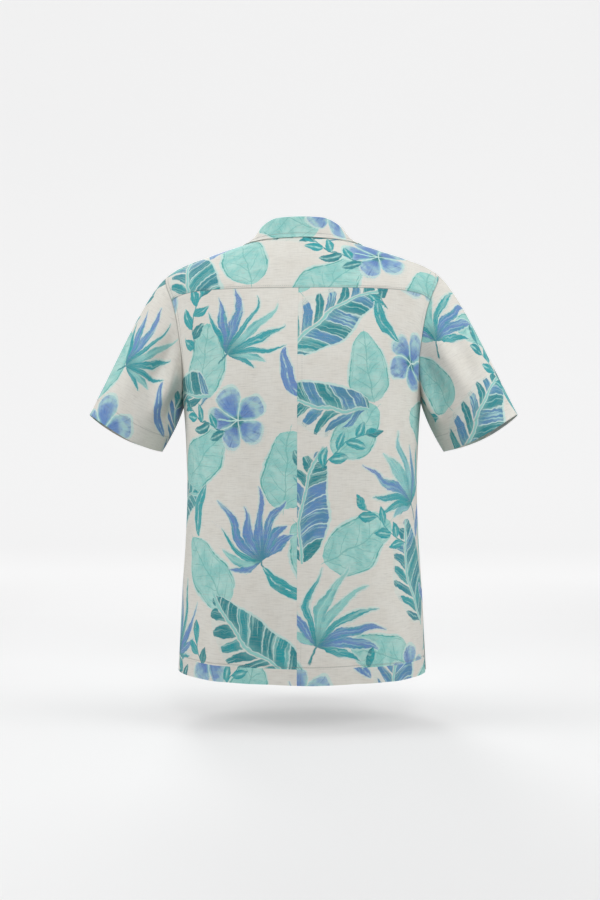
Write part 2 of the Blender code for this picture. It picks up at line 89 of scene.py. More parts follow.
ROLL_SEARCH = 0.05, 0.9
BEFORE_FRONT = -0.4

# Sleeve
SLEEVE_CENTRE = (0.2838, 0.0, -0.3049)
SLEEVE_HALF_WIDTH = 0.0649
SLEEVE_HALF_DEPTH = 0.059
SLEEVE_LEAN = math.radians(26.4)
HEM_SAG = 0.0082  # how far the middle of a sleeve's hem hangs below its two folds
HEM_TILTS = 0.0062, 0.0046  # how much more than that in front, and less behind
HEM_TILT_OUT = 0.9  # and how much of that gathers towards the outer fold
SLEEVE_CROWD = 1.08
SLEEVE_ROOT = (0.200, 0, -0.154)
SLEEVE_FULL = 0.022
LEAVE_OVER, LEAVE_UNDER = (0.101, 0, -0.082), (0.020, 0, -0.076)
ARRIVE_OVER, ARRIVE_UNDER = (0.120, 0, -0.225), (0.058, 0, -0.095)

# Lapels and collar
LAPEL_EDGE = 0.067
LAPEL_ROLL = 0.0030
ROLL_REACH = 0.030
FOLD_CLEAR = 0.0004
GORGE_Z = -0.062
LEFT_LAPEL_START = (0.05, 0.05)
RIGHT_LAPEL_START = (0.29, 0.40)
COLLAR_TIP = (0.092, -0.098)
NOTCH = 0.55
ROLL_RADIUS = 0.0034
COLLAR_SET = 0.0012
COLLAR_END = 0.003
LAPEL_TOP = 0.005
ROLL_SHARE = 0.45  # the most of the stand's height that the roll takes

# Cells
BODY_ROWS = 142
ARM_ROWS = 58
HALF_COLUMNS = 78
TOP_ROWS = 22
NECK_COLUMNS = 30
SHOULDER_COLUMNS = 48
YOKE_ROWS = 42
YOKE_FRONT_ROWS = 20
SLEEVE_COLUMNS = 140
SLEEVE_ROWS = 84
LAPEL_ROWS = 40
LAPEL_COLUMNS = 26
FOLD_COLUMNS = 8
STAND_ROWS = 8
ROLL_ROWS = 10
FALL_ROWS = 22
COLLAR_COLUMNS = 96
LEAF_COLUMNS = 14
SEAM_STEPS = 5
PATH_STEPS = 60
SOLVE_STEPS = 30

# Sewing
HEM_FOLD = 0.027
COLLAR_STITCH = 0.0065
YOKE_STITCH = 0.0035
ARMHOLE_STITCH = 0.007
FRONT_STITCH = 0.006
VENT_STITCH_TOP = VENT_Z + 0.012
STITCH_STEP = 0.0032
STITCH_LONG = 0.0024
STITCH_AHEAD = 0.0004  # how far on a stitch looks for its way
THREAD = 0.00036
ARMHOLE_FROM = BODY_ROWS + 2
VENT_UPTO = int(BODY_ROWS * 0.18)
FRONT_UPTO = BODY_ROWS + int(ARM_ROWS * 0.6)

# Buttons
BUTTON_RADIUS = 0.00575
BUTTON_THICK = 0.0024
FIRST_BUTTON_Z = -0.153
BUTTON_STEP = 0.094
BUTTON_COUNT = 5
BUTTON_CLEAR = 0.0003
BUTTON_WELL = 0.0042
WELL_DEEP = 0.0006
BUTTON_HOLES = 0.0015
HOLE_RADIUS = 0.0006
BUTTON_BEVEL = 0.00035
BUTTON_THREAD = 0.0042
BUTTONHOLE_HALF = 0.0078
BUTTONHOLE_WIDE = 0.0009
BAR_STEP = 0.00062
BAR_LONG = 0.0016
BUTTON_SIDES, HOLE_SIDES, BEVEL_STEPS = 48, 16, 3
BUTTON_SHARP, BEVEL_ANGLE = math.radians(35), math.radians(30)
HOLE_ASIDE = BUTTON_HOLES / math.sqrt(2)
BUTTONHOLE_POINTS = 12
THREAD_REACH = 0.62  # of a bar of button thread, how far either way its line is drawn
THREAD_SUNK = 0.2


def table(columns, *rows):
    """A table with named columns, each read as an array."""
    return dict(zip(columns.split(), np.array(rows, float).T))


TORSO = table(
    "z back front square",
    (-0.680, 0.150, 0.146, 2.05),
    (-0.553, 0.148, 0.142, 2.08),
    (-0.395, 0.144, 0.138, 2.12),
    (-0.254, 0.141, 0.136, 2.20),
    (-0.200, 0.136, 0.131, 2.28),
    (-0.154, 0.127, 0.122, 2.35),
    (-0.085, 0.108, 0.098, 2.40),
)
SIDE = table(
    "z back front",
    (-0.680, 0.1975, 0.1975),
    (-0.615, 0.1940, 0.1940),
    (-0.553, 0.1910, 0.1910),
    (-0.470, 0.1855, 0.1855),
    (-0.395, 0.1830, 0.1830),
    (-0.320, 0.1850, 0.1850),
    (-0.254, 0.1895, 0.1890),
    (-0.197, 0.1965, 0.1935),
    (-0.154, 0.2060, 0.2020),
    (-0.118, 0.2130, 0.2095),
    (-0.085, 0.2185, 0.2160),
)
CREST = table(
    "x z",
    (-0.0400, 0.0170),
    (0.0000, 0.0300),
    (0.0400, 0.0170),
    (0.0780, -0.0010),
    (0.1085, -0.0110),
    (0.1700, -0.0310),
    (0.1960, -0.0410),
    (0.2100, -0.0490),
    (0.2170, -0.0540),
)
COLLAR = table(
    "share roll_x roll_y roll_z edge_x edge_y edge_z",
    (-0.15, -0.0325, 0.0575, 0.0288, -0.0345, 0.0730, -0.0038),
    (0.00, 0.0000, 0.0655, 0.0292, 0.0000, 0.0785, -0.0035),
    (0.15, 0.0325, 0.0575, 0.0288, 0.0345, 0.0730, -0.0038),
    (0.30, 0.0540, 0.0365, 0.0205, 0.0640, 0.0590, -0.0045),
    (0.41, 0.0640, 0.0150, 0.0115, 0.0820, 0.0340, -0.0055),
    (0.51, 0.0675, -0.0080, 0.0050, 0.0960, 0.0060, -0.0075),
    (0.62, 0.0705, -0.0345, -0.0005, 0.1040, -0.0240, -0.0150),
    (0.74, 0.0715, -0.0600, -0.0145, 0.1060, -0.0500, -0.0300),
    (0.87, 0.0590, -0.0805, -0.0360, 0.1040, -0.0690, -0.0500),
    (1.00, 0.0425, -0.0915, -0.0570, 0.0990, -0.0830, -0.0720),
)

# Soft folds in a sleeve: middle and half spread round the armhole in degrees from the
# underarm by way of the back, where along the sleeve, how far it runs, and its height.
FOLDS = "turn spread along run rise"
LEFT_FOLDS = table(
    FOLDS,
    (66.0, 9.0, 0.42, 0.38, 0.0115),
    (90.0, 10.0, 0.33, 0.33, -0.0088),
    (40.0, 10.0, 0.36, 0.34, -0.0090),
    (114.0, 12.0, 0.48, 0.38, 0.0050),
    (304.0, 11.0, 0.36, 0.35, 0.0094),
    (282.0, 10.0, 0.30, 0.30, -0.0082),
    (254.0, 12.0, 0.46, 0.38, 0.0056),
    (330.0, 11.0, 0.40, 0.36, -0.0068),
    (14.0, 11.0, 0.50, 0.34, 0.0046),
    (96.0, 15.0, 0.88, 0.28, -0.0022),
    (238.0, 16.0, 0.88, 0.28, -0.0026),
)
RIGHT_FOLDS = table(
    FOLDS,
    (46.0, 9.0, 0.37, 0.37, 0.0112),
    (70.0, 10.0, 0.34, 0.33, -0.0098),
    (99.0, 10.0, 0.44, 0.36, 0.0070),
    (122.0, 11.0, 0.48, 0.36, -0.0046),
    (22.0, 10.0, 0.42, 0.34, -0.0070),
    (310.0, 11.0, 0.38, 0.36, 0.0090),
    (288.0, 10.0, 0.30, 0.30, -0.0080),
    (262.0, 12.0, 0.44, 0.38, 0.0060),
    (334.0, 12.0, 0.44, 0.36, -0.0060),
    (84.0, 15.0, 0.86, 0.30, -0.0024),
    (228.0, 16.0, 0.88, 0.28, -0.0026),
)

# Creases of the body in its own view: from, to, how far they bow, half spread, height.
CREASES = "x0 z0 x1 z1 bow spread rise"
BACK_CREASES = table(
    CREASES,
    (0.158, -0.205, 0.056, -0.330, 0.006, 0.011, 0.0041),
    (0.172, -0.250, 0.088, -0.420, -0.007, 0.013, -0.0046),
    (0.150, -0.330, 0.142, -0.560, 0.010, 0.016, 0.0035),
    (-0.156, -0.212, -0.046, -0.318, -0.006, 0.012, -0.0041),
    (-0.170, -0.246, -0.098, -0.450, 0.009, 0.012, 0.0046),
    (-0.140, -0.370, -0.150, -0.580, -0.008, 0.017, -0.0032),
    (0.112, -0.480, 0.126, -0.790, 0.007, 0.018, 0.0049),
    (0.052, -0.540, 0.044, -0.770, -0.004, 0.020, -0.0032),
    (-0.022, -0.500, -0.030, -0.800, 0.004, 0.022, 0.0035),
    (-0.086, -0.470, -0.094, -0.780, 0.005, 0.017, -0.0049),
    (-0.146, -0.520, -0.150, -0.800, -0.004, 0.014, 0.0041),
    (0.090, -0.120, 0.118, -0.235, 0.004, 0.017, -0.0030),
    (-0.096, -0.130, -0.112, -0.260, -0.005, 0.016, 0.0027),
)
FRONT_CREASES = table(
    CREASES,
    (0.150, -0.215, 0.070, -0.345, 0.007, 0.012, 0.0043),
    (0.166, -0.262, 0.100, -0.450, -0.008, 0.014, -0.0043),
    (0.120, -0.470, 0.130, -0.780, 0.006, 0.018, 0.0046),
    (0.066, -0.560, 0.058, -0.780, -0.005, 0.016, -0.0035),
    (-0.146, -0.208, -0.064, -0.320, -0.006, 0.011, -0.0038),
    (-0.168, -0.254, -0.112, -0.470, 0.010, 0.015, 0.0046),
    (-0.104, -0.500, -0.112, -0.790, 0.006, 0.017, -0.0043),
    (-0.056, -0.440, -0.064, -0.720, -0.004, 0.019, 0.0032),
    (-0.150, -0.540, -0.152, -0.800, 0.004, 0.015, 0.0038),
    (0.104, -0.130, 0.122, -0.240, 0.005, 0.016, 0.0027),
)
CREASE_SIDE_ROOM = 0.040
CREASE_TOP_ROOM = 0.045
CREASE_FADE = 1.4


# Curves and blends


def read(rows, column, at, key="z"):
    """A smooth value of a column between rows, with no overshoot."""
    x, y = rows[key], rows[column]
    at = min(max(at, x[0]), x[-1])
    tangent = tangents(tuple(x), tuple(y))
    i = min(int(np.searchsorted(x, at, "right")) - 1, len(x) - 2)
    run = x[i + 1] - x[i]
    t = (at - x[i]) / run
    return float(hermite(y[i], tangent[i] * run, y[i + 1], tangent[i + 1] * run, t))


@functools.cache
def tangents(x, y):
    slope = np.diff(y) / np.diff(x)
    product = slope[:-1] * slope[1:]
    total = slope[:-1] + slope[1:]
    inner = np.where(product > 0, 2 * product / np.where(total == 0, 1, total), 0)
    return np.concatenate([slope[:1], inner, slope[-1:]])


def hermite(start, leave, end, arrive, t):
    return (
        start * (2 * t**3 - 3 * t**2 + 1)
        + leave * (t**3 - 2 * t**2 + t)
        + end * (3 * t**2 - 2 * t**3)
        + arrive * (t**3 - t**2)
    )


def mix(a, b, t):
    return a + (b - a) * t


def ease(t):
    t = np.clip(t, 0.0, 1.0)
    return t * t * (3 - 2 * t)


def solve(function, low, high):
    """Where a rising or falling function crosses zero."""
    rising = function(high) > function(low)
    for _ in range(SOLVE_STEPS):
        middle = (low + high) / 2
        if (function(middle) > 0) == rising:
            high = middle
        else:
            low = middle
    return (low + high) / 2


# The trunk's surface: side is +1 for the back and -1 for the front, and a fraction
# runs from 0 at the centre to 1 at the side seam or armhole.


def armhole_turn(z):
    """Angle round the armhole, from 0 at the underarm to pi at the shoulder."""
    return math.acos(min(max((ARMHOLE_Z - z) / ARMHOLE_HALF, -1.0), 1.0))


def armhole_reach(side, z):
    if z <= UNDERARM_Z:
        return 0.0
    return (ARMHOLE_BACK if side > 0 else ARMHOLE_FRONT) * math.sin(armhole_turn(z))


@functools.cache
def section(side, z):
    """Half width, depth, squareness and edge angle of the trunk's section."""
    column = "back" if side > 0 else "front"
    half, depth = read(SIDE, column, z), read(TORSO, column, z)
    power = read(TORSO, "square", z)
    edge = math.acos((armhole_reach(side, z) / depth) ** (power / 2))
    return half, depth, power, edge


@functools.cache
def trunk(side, z, fraction):
    """A point of the trunk at or below the back yoke seam."""
    half, depth, power, edge = section(side, z)
    angle = abs(fraction) * edge
    x = half * math.sin(angle) ** (2 / power)
    y = depth * max(math.cos(angle), 0.0) ** (2 / power)
    return np.array([math.copysign(x, fraction), side * y, z])


def armhole(turn):
    """A point of the left armhole seam, for an angle from the underarm by way of the back."""
    side = 1 if math.sin(turn) >= 0 else -1
    z = ARMHOLE_Z - ARMHOLE_HALF * math.cos(turn)
    x = trunk(side, min(z, YOKE_Z), 1.0)[0]
    if z > YOKE_Z:
        climb = SHOULDER_Z - YOKE_Z
        widening = (x - trunk(side, YOKE_Z - LEAN_RUN, 1.0)[0]) / LEAN_RUN * climb
        x = hermite(x, widening, SHOULDER_HALF, 0.0, (z - YOKE_Z) / climb)
    return np.array([x, side * armhole_reach(side, z), z])


def fraction_at(side, z, x):
    half, _, power, edge = section(side, z)
    share = math.asin(min(abs(x) / half, 1.0) ** (power / 2)) / edge
    return math.copysign(share, x)


def crest_x(side, fraction):
    """How far from the centre a column stands on the shoulder's crest."""
    foot, edge = trunk(side, YOKE_Z, fraction), trunk(side, YOKE_Z, 1.0)
    return foot[0] * SHOULDER_HALF / edge[0]


@functools.cache
def shoulder(side, fraction, rise):
    """A point above the yoke seam's level: rise is 0 there and 1 on the shoulder's crest."""
    foot, edge = trunk(side, YOKE_Z, fraction), trunk(side, YOKE_Z, 1.0)
    slope = (foot - trunk(side, YOKE_Z - LEAN_RUN, fraction)) / LEAN_RUN
    top = read(CREST, "z", abs(crest_x(side, fraction)), "x")
    full = mix(FULL_NECK, FULL_ARM, abs(fraction)) * math.hypot(foot[1], top - YOKE_Z)
    lean = np.array([abs(foot[1]), YOKE_Z]), np.array([side * slope[1], 1.0])
    low = armhole_turn(YOKE_Z)
    weight = abs(fraction) ** ARM_PULL
    nudge = 0.001

    def place(rise):
        turn = mix(low, math.pi, rise)
        seam_x, _, seam_z = armhole(turn if side > 0 else -turn)
        seam_y = abs(foot[1]) * math.sin(turn) / math.sin(low)
        seam_z = mix(YOKE_Z, top, (seam_z - YOKE_Z) / (SHOULDER_Z - YOKE_Z))
        leave = lean[1] / np.linalg.norm(lean[1]) * full
        y, z = hermite(lean[0], leave, np.array([0.0, top]), np.array([-full, 0.0]), rise)
        x = foot[0] * seam_x / edge[0]
        return np.array([x, side * mix(y, seam_y, weight), mix(z, seam_z, weight)])

    pace = (place(nudge) - place(0.0)) / nudge
    wanted = slope / np.linalg.norm(slope) * np.linalg.norm(pace)
    return place(rise) + (wanted - pace) * rise * (1 - rise) ** 2


def front_seam_rise(fraction):
    """How far up the shoulder the yoke's front seam lies."""
    return mix(*FRONT_SEAM_RISES, abs(fraction) ** 2)


# Grids of points. The last axis is x, y, z.


def panel_heights(share, top=YOKE_Z):
    """Row heights from the hem to the yoke seam, for a column at a share of the way out.
    Near the armhole the rows crowd together at the underarm, where its seam runs level."""
    lower = np.linspace(HEM_Z, UNDERARM_Z, BODY_ROWS + 1)
    even = np.linspace(UNDERARM_Z, top, ARM_ROWS + 1)[1:]
    turns = np.linspace(0.0, armhole_turn(top), ARM_ROWS + 1)[1:]
    crowded = ARMHOLE_Z - ARMHOLE_HALF * np.cos(turns)
    return np.concatenate([lower, mix(even, crowded, share**ARM_PULL)])


def yoke_seam_z(fraction):
    """Height of the yoke's back seam, which bends down towards the armholes."""
    return YOKE_Z - YOKE_DROP * abs(fraction) ** YOKE_BEND


def vent_shift(z):
    """How far the back's side edge stands in at the open vents."""
    return VENT_SET * ease((VENT_Z - z) / VENT_EASE)


def back_grid():
    """The left back, from the side seam to the centre."""
    shares = np.linspace(0, 1, HALF_COLUMNS + 1) ** CENTRE_CROWD
    columns = [[trunk(1, z, s) for z in panel_heights(s, yoke_seam_z(s))] for s in shares]
    grid = np.array(columns).transpose(1, 0, 2)
    shift = vent_shift(grid[:, -1, 2])
    for back, share in enumerate(shares[::-1]):
        held = ease((share - VENT_FROM) / VENT_OVER)
        grid[:, -1 - back, 0] -= shift * held
        grid[:, -1 - back, 1] += shift * held
    return grid[:, ::-1]


def neck_rise(fraction):
    """Where a back yoke column meets the neck edge."""
    if abs(crest_x(1, fraction)) >= NECK_HALF:
        return 1.0

    def past(rise):
        x, y, _ = shoulder(1, fraction, rise)
        return (x / NECK_HALF) ** 2 + (max(y, 0) / NECK_BACK) ** 2 - 1

    return solve(past, *NECK_SEARCH)


def yoke_fractions():
    """Fractions of the columns from the centre to the neck's side, and on to the armhole."""
    neck = fraction_at(1, YOKE_Z, NECK_HALF * trunk(1, YOKE_Z, 1.0)[0] / SHOULDER_HALF)
    turns = np.linspace(0, math.pi / 2, NECK_COLUMNS + 1)
    inner = [neck * math.sin(turn) for turn in turns]
    return inner, list(np.linspace(neck, 1.0, SHOULDER_COLUMNS + 1))


def front_fractions(back_fractions):
    """The front's own fractions for columns that meet the back's on the crest."""
    narrower = trunk(-1, YOKE_Z, 1.0)[0] / SHOULDER_HALF
    crest = [crest_x(1, fraction) for fraction in back_fractions]
    return [fraction_at(-1, YOKE_Z, x * narrower) for x in crest]


def yoke_front_column(fraction, rows=YOKE_FRONT_ROWS):
    """A column of the yoke from the shoulder's crest down to its front seam."""
    rises = np.linspace(1.0, front_seam_rise(fraction), rows + 1)
    return [shoulder(-1, fraction, rise) for rise in rises]


def yoke_back_column(fraction, top):
    """A column of the yoke from its back seam up to a rise, in even steps."""
    heights = np.linspace(yoke_seam_z(fraction), YOKE_Z, SEAM_STEPS)[:-1]
    low = [trunk(1, z, fraction) for z in heights] if fraction else []
    high = [shoulder(1, fraction, rise) for rise in np.linspace(0, top, PATH_STEPS)]
    path = np.array(low + high)
    return [walk(path, share) for share in np.linspace(0, 1, YOKE_ROWS + 1)]


def yoke_grids():
    """The yoke behind the neck, its left shoulder and its right one, as columns."""
    inner, outer = yoke_fractions()
    half = np.array([yoke_back_column(f, neck_rise(f)) for f in inner])
    centre = np.concatenate([mirrored(half)[:-1], half])
    left = []
    for fraction, front in zip(outer, front_fractions(outer)):
        behind = yoke_back_column(fraction, 1.0)
        left.append(behind + yoke_front_column(front)[1:])
    left = np.array(left)
    return centre, left, mirrored(left)


def mirrored(grid):
    """The same piece on the wearer's other side, with its faces still outward."""
    return (grid * (-1, 1, 1))[::-1]


def mirrored_rows(grid):
    return (grid * (-1, 1, 1))[:, ::-1]


@functools.cache
def roll_ends():
    """Ends of the fold of a front: at the break, and at the yoke's front seam."""
    neck = yoke_fractions()[1][:1]
    top = yoke_front_column(front_fractions(neck)[0], 1)[-1]
    return (-OVERLAP, BREAK_Z), (top[0], top[2])


def roll_x(z):
    """The inner edge of the left front at a height."""
    low, high = roll_ends()
    return mix(low[0], high[0], max(z - low[1], 0.0) / (high[1] - low[1]))


def front_lift(x, lift):
    """How far a front stands out over the one below it, near the centre."""
    return lift * (1 - ease((x - LIFT_FROM) / LIFT_OVER))


def front_grid(lift):
    """The left front, or with no lift the one that lies under it, as its mirror image."""
    shares = np.linspace(0, 1, HALF_COLUMNS + 1)
    columns = []
    for share in shares:
        column = []
        for z in panel_heights(share):
            inner = fraction_at(-1, z, roll_x(z))
            column.append(trunk(-1, z, mix(inner, 1.0, share)))
        columns.append(column)
    grid = list(np.array(columns).transpose(1, 0, 2))
    for part in np.linspace(0, 1, TOP_ROWS + 1)[1:]:

        def outside(fraction):
            point = shoulder(-1, fraction, part * front_seam_rise(fraction))
            return point[0] - roll_x(point[2])

        inner = solve(outside, *ROLL_SEARCH)
        fractions = [mix(inner, 1.0, s) for s in shares]
        row = [shoulder(-1, f, part * front_seam_rise(f)) for f in fractions]
        grid.append(np.array(row))
    grid = np.array(grid)
    grid[..., 1] -= front_lift(grid[..., 0], lift)
    return grid


def sleeve_grid(folds, hem_tilt):
    """Rings of the left sleeve from the armhole to its hem."""
    centre = np.array(SLEEVE_CENTRE)
    across = np.array([math.cos(SLEEVE_LEAN), 0, math.sin(SLEEVE_LEAN)])
    along = (np.linspace(0, 1, SLEEVE_ROWS + 1) ** SLEEVE_CROWD)[:, None]
    columns = []
    for turn in np.linspace(0, 2 * math.pi, SLEEVE_COLUMNS + 1):
        under = (1 + math.cos(turn)) / 2
        start = armhole(turn)
        end = centre - across * SLEEVE_HALF_WIDTH * math.cos(turn)
        tilt = hem_tilt * (1 - HEM_TILT_OUT * math.cos(turn))
        sag = HEM_SAG * math.sin(turn) ** 2 - tilt * math.sin(turn)
        end = end + np.array([0, SLEEVE_HALF_DEPTH * math.sin(turn), -sag])
        leave = mix(np.array(LEAVE_OVER), np.array(LEAVE_UNDER), under)
        leave = leave + np.array([0, SLEEVE_FULL, 0]) * math.sin(turn)
        arrive = mix(np.array(ARRIVE_OVER), np.array(ARRIVE_UNDER), under)
        points = hermite(start, leave, end, arrive, along)
        axis = mix(np.array(SLEEVE_ROOT), centre, along)
        outward = (points - axis) / np.linalg.norm(points - axis, axis=1)[:, None]
        columns.append(points + outward * sleeve_fold(folds, math.degrees(turn), along))
    grid = np.array(columns).transpose(1, 0, 2)
    grid[:, -1] = grid[:, 0]
    return grid


def creased(grid, creases, side):
    """A panel with its soft creases, which die out before its seams."""
    _, top, first, last = reaches(grid)
    seam = first if abs(grid[0, 0, 0]) > abs(grid[0, -1, 0]) else last
    held = ease(seam / CREASE_SIDE_ROOM) * ease(top / CREASE_TOP_ROOM)
    place = grid[..., [0, 2]]
    rise = np.zeros(grid.shape[:2])
    for x0, z0, x1, z1, bow, spread, height in zip(*creases.values()):
        start, run = np.array([x0, z0]), np.array([x1 - x0, z1 - z0])
        length = np.linalg.norm(run)
        along = np.clip((place - start) @ run / length**2, 0, 1)
        off = (place - start) @ np.array([-run[1], run[0]]) / length
        off = off - bow * 4 * along * (1 - along)
        rise += height * np.sin(math.pi * along) ** CREASE_FADE * np.exp(-((off / spread) ** 2))
    grid = grid.copy()
    grid[..., 1] += side * rise * held
    return grid


def sleeve_fold(folds, degrees, along):
    rise = 0.0
    for turn, spread, middle, run, height in zip(*folds.values()):
        away = (degrees - turn + 180) % 360 - 180
        length = np.maximum(1 - ((along - middle) / run) ** 2, 0.0) ** 2
        rise += height * length * math.exp(-((away / spread) ** 2))
    return rise


# Lapels and collar, which lie on the panels


def surface_tree(*grids):
    """The panels' outer faces, for laying other pieces on them."""
    points, cells = [], []
    for grid in grids:
        cells += (cells_of(grid) + len(points)).tolist()
        points += grid.reshape(-1, 3).tolist()
    return BVHTree.FromPolygons(points, cells)


def cells_of(grid):
    """The four-sided cells of a grid, as the numbers of its points."""
    index = np.arange(grid.shape[0] * grid.shape[1]).reshape(grid.shape[:2])
    corners = index[:-1, :-1], index[:-1, 1:], index[1:, 1:], index[1:, :-1]
    return np.stack(corners, -1).reshape(-1, 4)


def found_on_front(x, z, tree):
    """The point of a front at a place in front view, and the way out from it."""
    hit, normal, _, _ = tree.ray_cast(Vector((x, BEFORE_FRONT, z)), Vector((0, 1, 0)))
    return hit, normal


def laid_on_front(x, z, tree, lift):
    hit, normal = found_on_front(x, z, tree)
    return np.array(hit + normal * lift)


def clear_of(point, tree, clearance):
    """A point moved out until it clears a surface."""
    hit, normal, _, _ = tree.find_nearest(Vector(point))
    out = (Vector(point) - hit).dot(normal)
    if out >= clearance:
        return point
    return np.array(Vector(point) + normal * (clearance - out))


def on_roll(z):
    low, high = np.array(roll_ends())
    return mix(low, high, (z - low[1]) / (high[1] - low[1]))


def lapel_corners():
    """Front-view corners: the break, the tip, and where the lapel's fold ends."""
    low, high = np.array(roll_ends())
    fold = (high - low) / np.linalg.norm(high - low)
    edge = np.array([0.0, LAPEL_EDGE])
    tip = low + 2 * np.dot(edge, fold) * fold - edge
    return low, tip, on_roll(GORGE_Z - LAPEL_TOP)


def lapel_grid(tree, start_inner, start_outer):
    """Rows across the left lapel, from the break to its top edge, with the fold's turn first."""
    low, tip, top = lapel_corners()
    grid = []
    for share in np.linspace(0, 1, LAPEL_ROWS + 1):
        row = []
        for across in np.linspace(0, 1, LAPEL_COLUMNS + 1):
            along = mix(mix(start_inner, start_outer, across), 1.0, share)
            x, z = mix(mix(low, top, along), mix(low, tip, along), across)
            soft = LAPEL_ROLL * (1 - ease(across * along * LAPEL_EDGE / ROLL_REACH))
            row.append(laid_on_front(x + FOLD_CLEAR, z, tree, CLOTH + LIE + soft))
        grid.append(fold_turn(row, tree) + row)
    return np.array(grid)


def fold_turn(row, tree):
    """Points round the fold, from the front's edge out to the lapel's."""
    hit, normal, _, _ = tree.find_nearest(Vector(row[0]))
    edge, out = np.array(hit), np.array(normal)
    back = row[0] - row[2]
    back = back - out * np.dot(back, out)
    back = back / np.linalg.norm(back)
    middle, radius = (row[0] + edge) / 2, np.linalg.norm(row[0] - edge) / 2
    turns = np.linspace(0, math.pi, FOLD_COLUMNS + 1)[:-1]
    return [middle - out * radius * math.cos(t) + back * radius * math.sin(t) for t in turns]


def neck_path(front):
    """The neck seam from the centre back round to where the collar ends on the fold."""
    inner, outer = yoke_fractions()
    back = [shoulder(1, f, neck_rise(f)) for f in inner]
    side = yoke_front_column(front_fractions(outer[:1])[0])
    fold = list(front[::-1, 0])
    heights = [-point[2] for point in fold]
    end = -(GORGE_Z + COLLAR_END)
    last = np.array([np.interp(end, heights, [point[i] for point in fold]) for i in range(3)])
    return np.array(back + side[1:] + [p for p in fold[1:] if -p[2] < end] + [last])


def walk(path, share):
    """The point at a share of a path's length."""
    reach = lengths(path)
    return np.array([np.interp(share * reach[-1], reach, path[:, i]) for i in range(3)])


def lengths(path):
    """How far along a path each of its points lies."""
    steps = np.linalg.norm(np.diff(path, axis=0), axis=1)
    return np.concatenate([[0], np.cumsum(steps)])


def collar_section(share, path, tree):
    """Points across the folded collar: up the stand, over the roll and down the fall."""
    seam = walk(path, share)
    roll = np.array([read(COLLAR, "roll_" + axis, share, "share") for axis in "xyz"])
    edge = np.array([read(COLLAR, "edge_" + axis, share, "share") for axis in "xyz"])
    tall = np.linalg.norm(roll - seam)
    up = (roll - seam) / tall
    _, normal, _, _ = tree.find_nearest(Vector(seam))
    across = np.array(normal) - up * np.dot(normal, up)
    across = across / np.linalg.norm(across)
    foot = seam - across * (PLY + TWO_PLY) / 2
    radius = min(ROLL_RADIUS, tall * ROLL_SHARE)
    top = foot + up * (tall - radius)
    centre = top + across * radius
    fall = edge - centre
    turn = math.atan2(np.dot(fall, across), np.dot(fall, up)) % (2 * math.pi)
    turn -= math.asin(min(radius / np.linalg.norm(fall), 1.0))
    points = [mix(foot, top, t) for t in np.linspace(0, 1, STAND_ROWS + 1)]
    for angle in np.linspace(0, turn, ROLL_ROWS + 1)[1:]:
        points.append(centre + radius * (up * math.sin(angle) - across * math.cos(angle)))
    last = points[-1]
    for t in np.linspace(0, 1, FALL_ROWS + 1)[1:]:
        points.append(clear_of(mix(last, edge, t), tree, CLOTH + LIE))
    return points


def collar_leaf(start, tree):
    """The collar in front of its last section, down to its front edge."""
    tip, gorge = lapel_corners()[1], on_roll(GORGE_Z)
    along = (tip - gorge) / np.linalg.norm(tip - gorge)
    notch = mix(gorge, tip, NOTCH) + np.array([-along[1], along[0]]) * COLLAR_SET
    end = []
    for t in np.linspace(0, 1, len(start)):
        x, z = mix(notch, np.array(COLLAR_TIP), t)
        end.append(laid_on_front(x, z, tree, CLOTH + LIE))
    grid = [start]
    for t in np.linspace(0, 1, LEAF_COLUMNS + 1)[1:]:
        grid.append([clear_of(mix(a, b, t), tree, CLOTH + LIE) for a, b in zip(start, end)])
    return np.array(grid)


def collar_grids(tree, front):
    path = neck_path(front)
    shares = np.linspace(0, 1, COLLAR_COLUMNS + 1)
    left = np.array([collar_section(share, path, tree) for share in shares])
    leaf = collar_leaf(list(left[-1][STAND_ROWS + ROLL_ROWS // 2 :]), tree)
    whole = np.concatenate([mirrored(left)[:-1], left])
    return tuple(grid[::-1] for grid in (whole, leaf, mirrored(leaf)))


# The cloth's own places: metres across and up a panel, and how far a point lies from
# the nearest line of stitches and from the nearest seam.


def reaches(grid):
    """Distances over the cloth from a grid's first and last row and first and last column."""
    down = np.linalg.norm(np.diff(grid, axis=0), axis=2)
    over = np.linalg.norm(np.diff(grid, axis=1), axis=2)
    first_row = np.concatenate([np.zeros((1, grid.shape[1])), np.cumsum(down, axis=0)])
    first_column = np.concatenate([np.zeros((grid.shape[0], 1)), np.cumsum(over, axis=1)], 1)
    last_row = first_row[-1:] - first_row
    last_column = first_column[:, -1:] - first_column
    return first_row, last_row, first_column, last_column


FAR = 1.0
CENTRE_SEAM = 0.0011  # how much fainter the painted shade and the dip of the plain centre seam are than at the others
LEAF_ASIDE, LEAF_DOWN = 0.24, 0.035  # where the print lies on the collar's front leaves


def places(across, up, line=FAR, edge=FAR, wall=PLY):
    return np.stack(np.broadcast_arrays(across, up, line, edge, wall), -1)


def hemmed(hem):
    """Walls of a panel whose edge is turned up and sewn."""
    return np.where(hem < HEM_FOLD, TWO_PLY, PLY)


def nearest(*distances):
    return functools.reduce(np.minimum, distances)


def body_places(grid, front_stitch):
    """Places of a left back or front, from the side seam or the fold to the other edge."""
    hem, top, first, last = reaches(grid)
    side = first if grid[0, 0, 0] > grid[0, -1, 0] else last
    centre = last if side is first else first
    above = grid[..., 2] > UNDERARM_Z
    armhole_line = np.where(above, abs(side - ARMHOLE_STITCH), FAR)
    vent = np.where(grid[..., 2] < VENT_STITCH_TOP, abs(side - FRONT_STITCH), FAR)
    line = nearest(abs(hem - HEM_FOLD), armhole_line, vent)
    if front_stitch:
        line = nearest(line, abs(centre - FRONT_STITCH))
    up = hem.mean(axis=1, keepdims=True) + 0 * hem
    return places(centre, up, line, nearest(side, centre + CENTRE_SEAM, top), hemmed(hem))


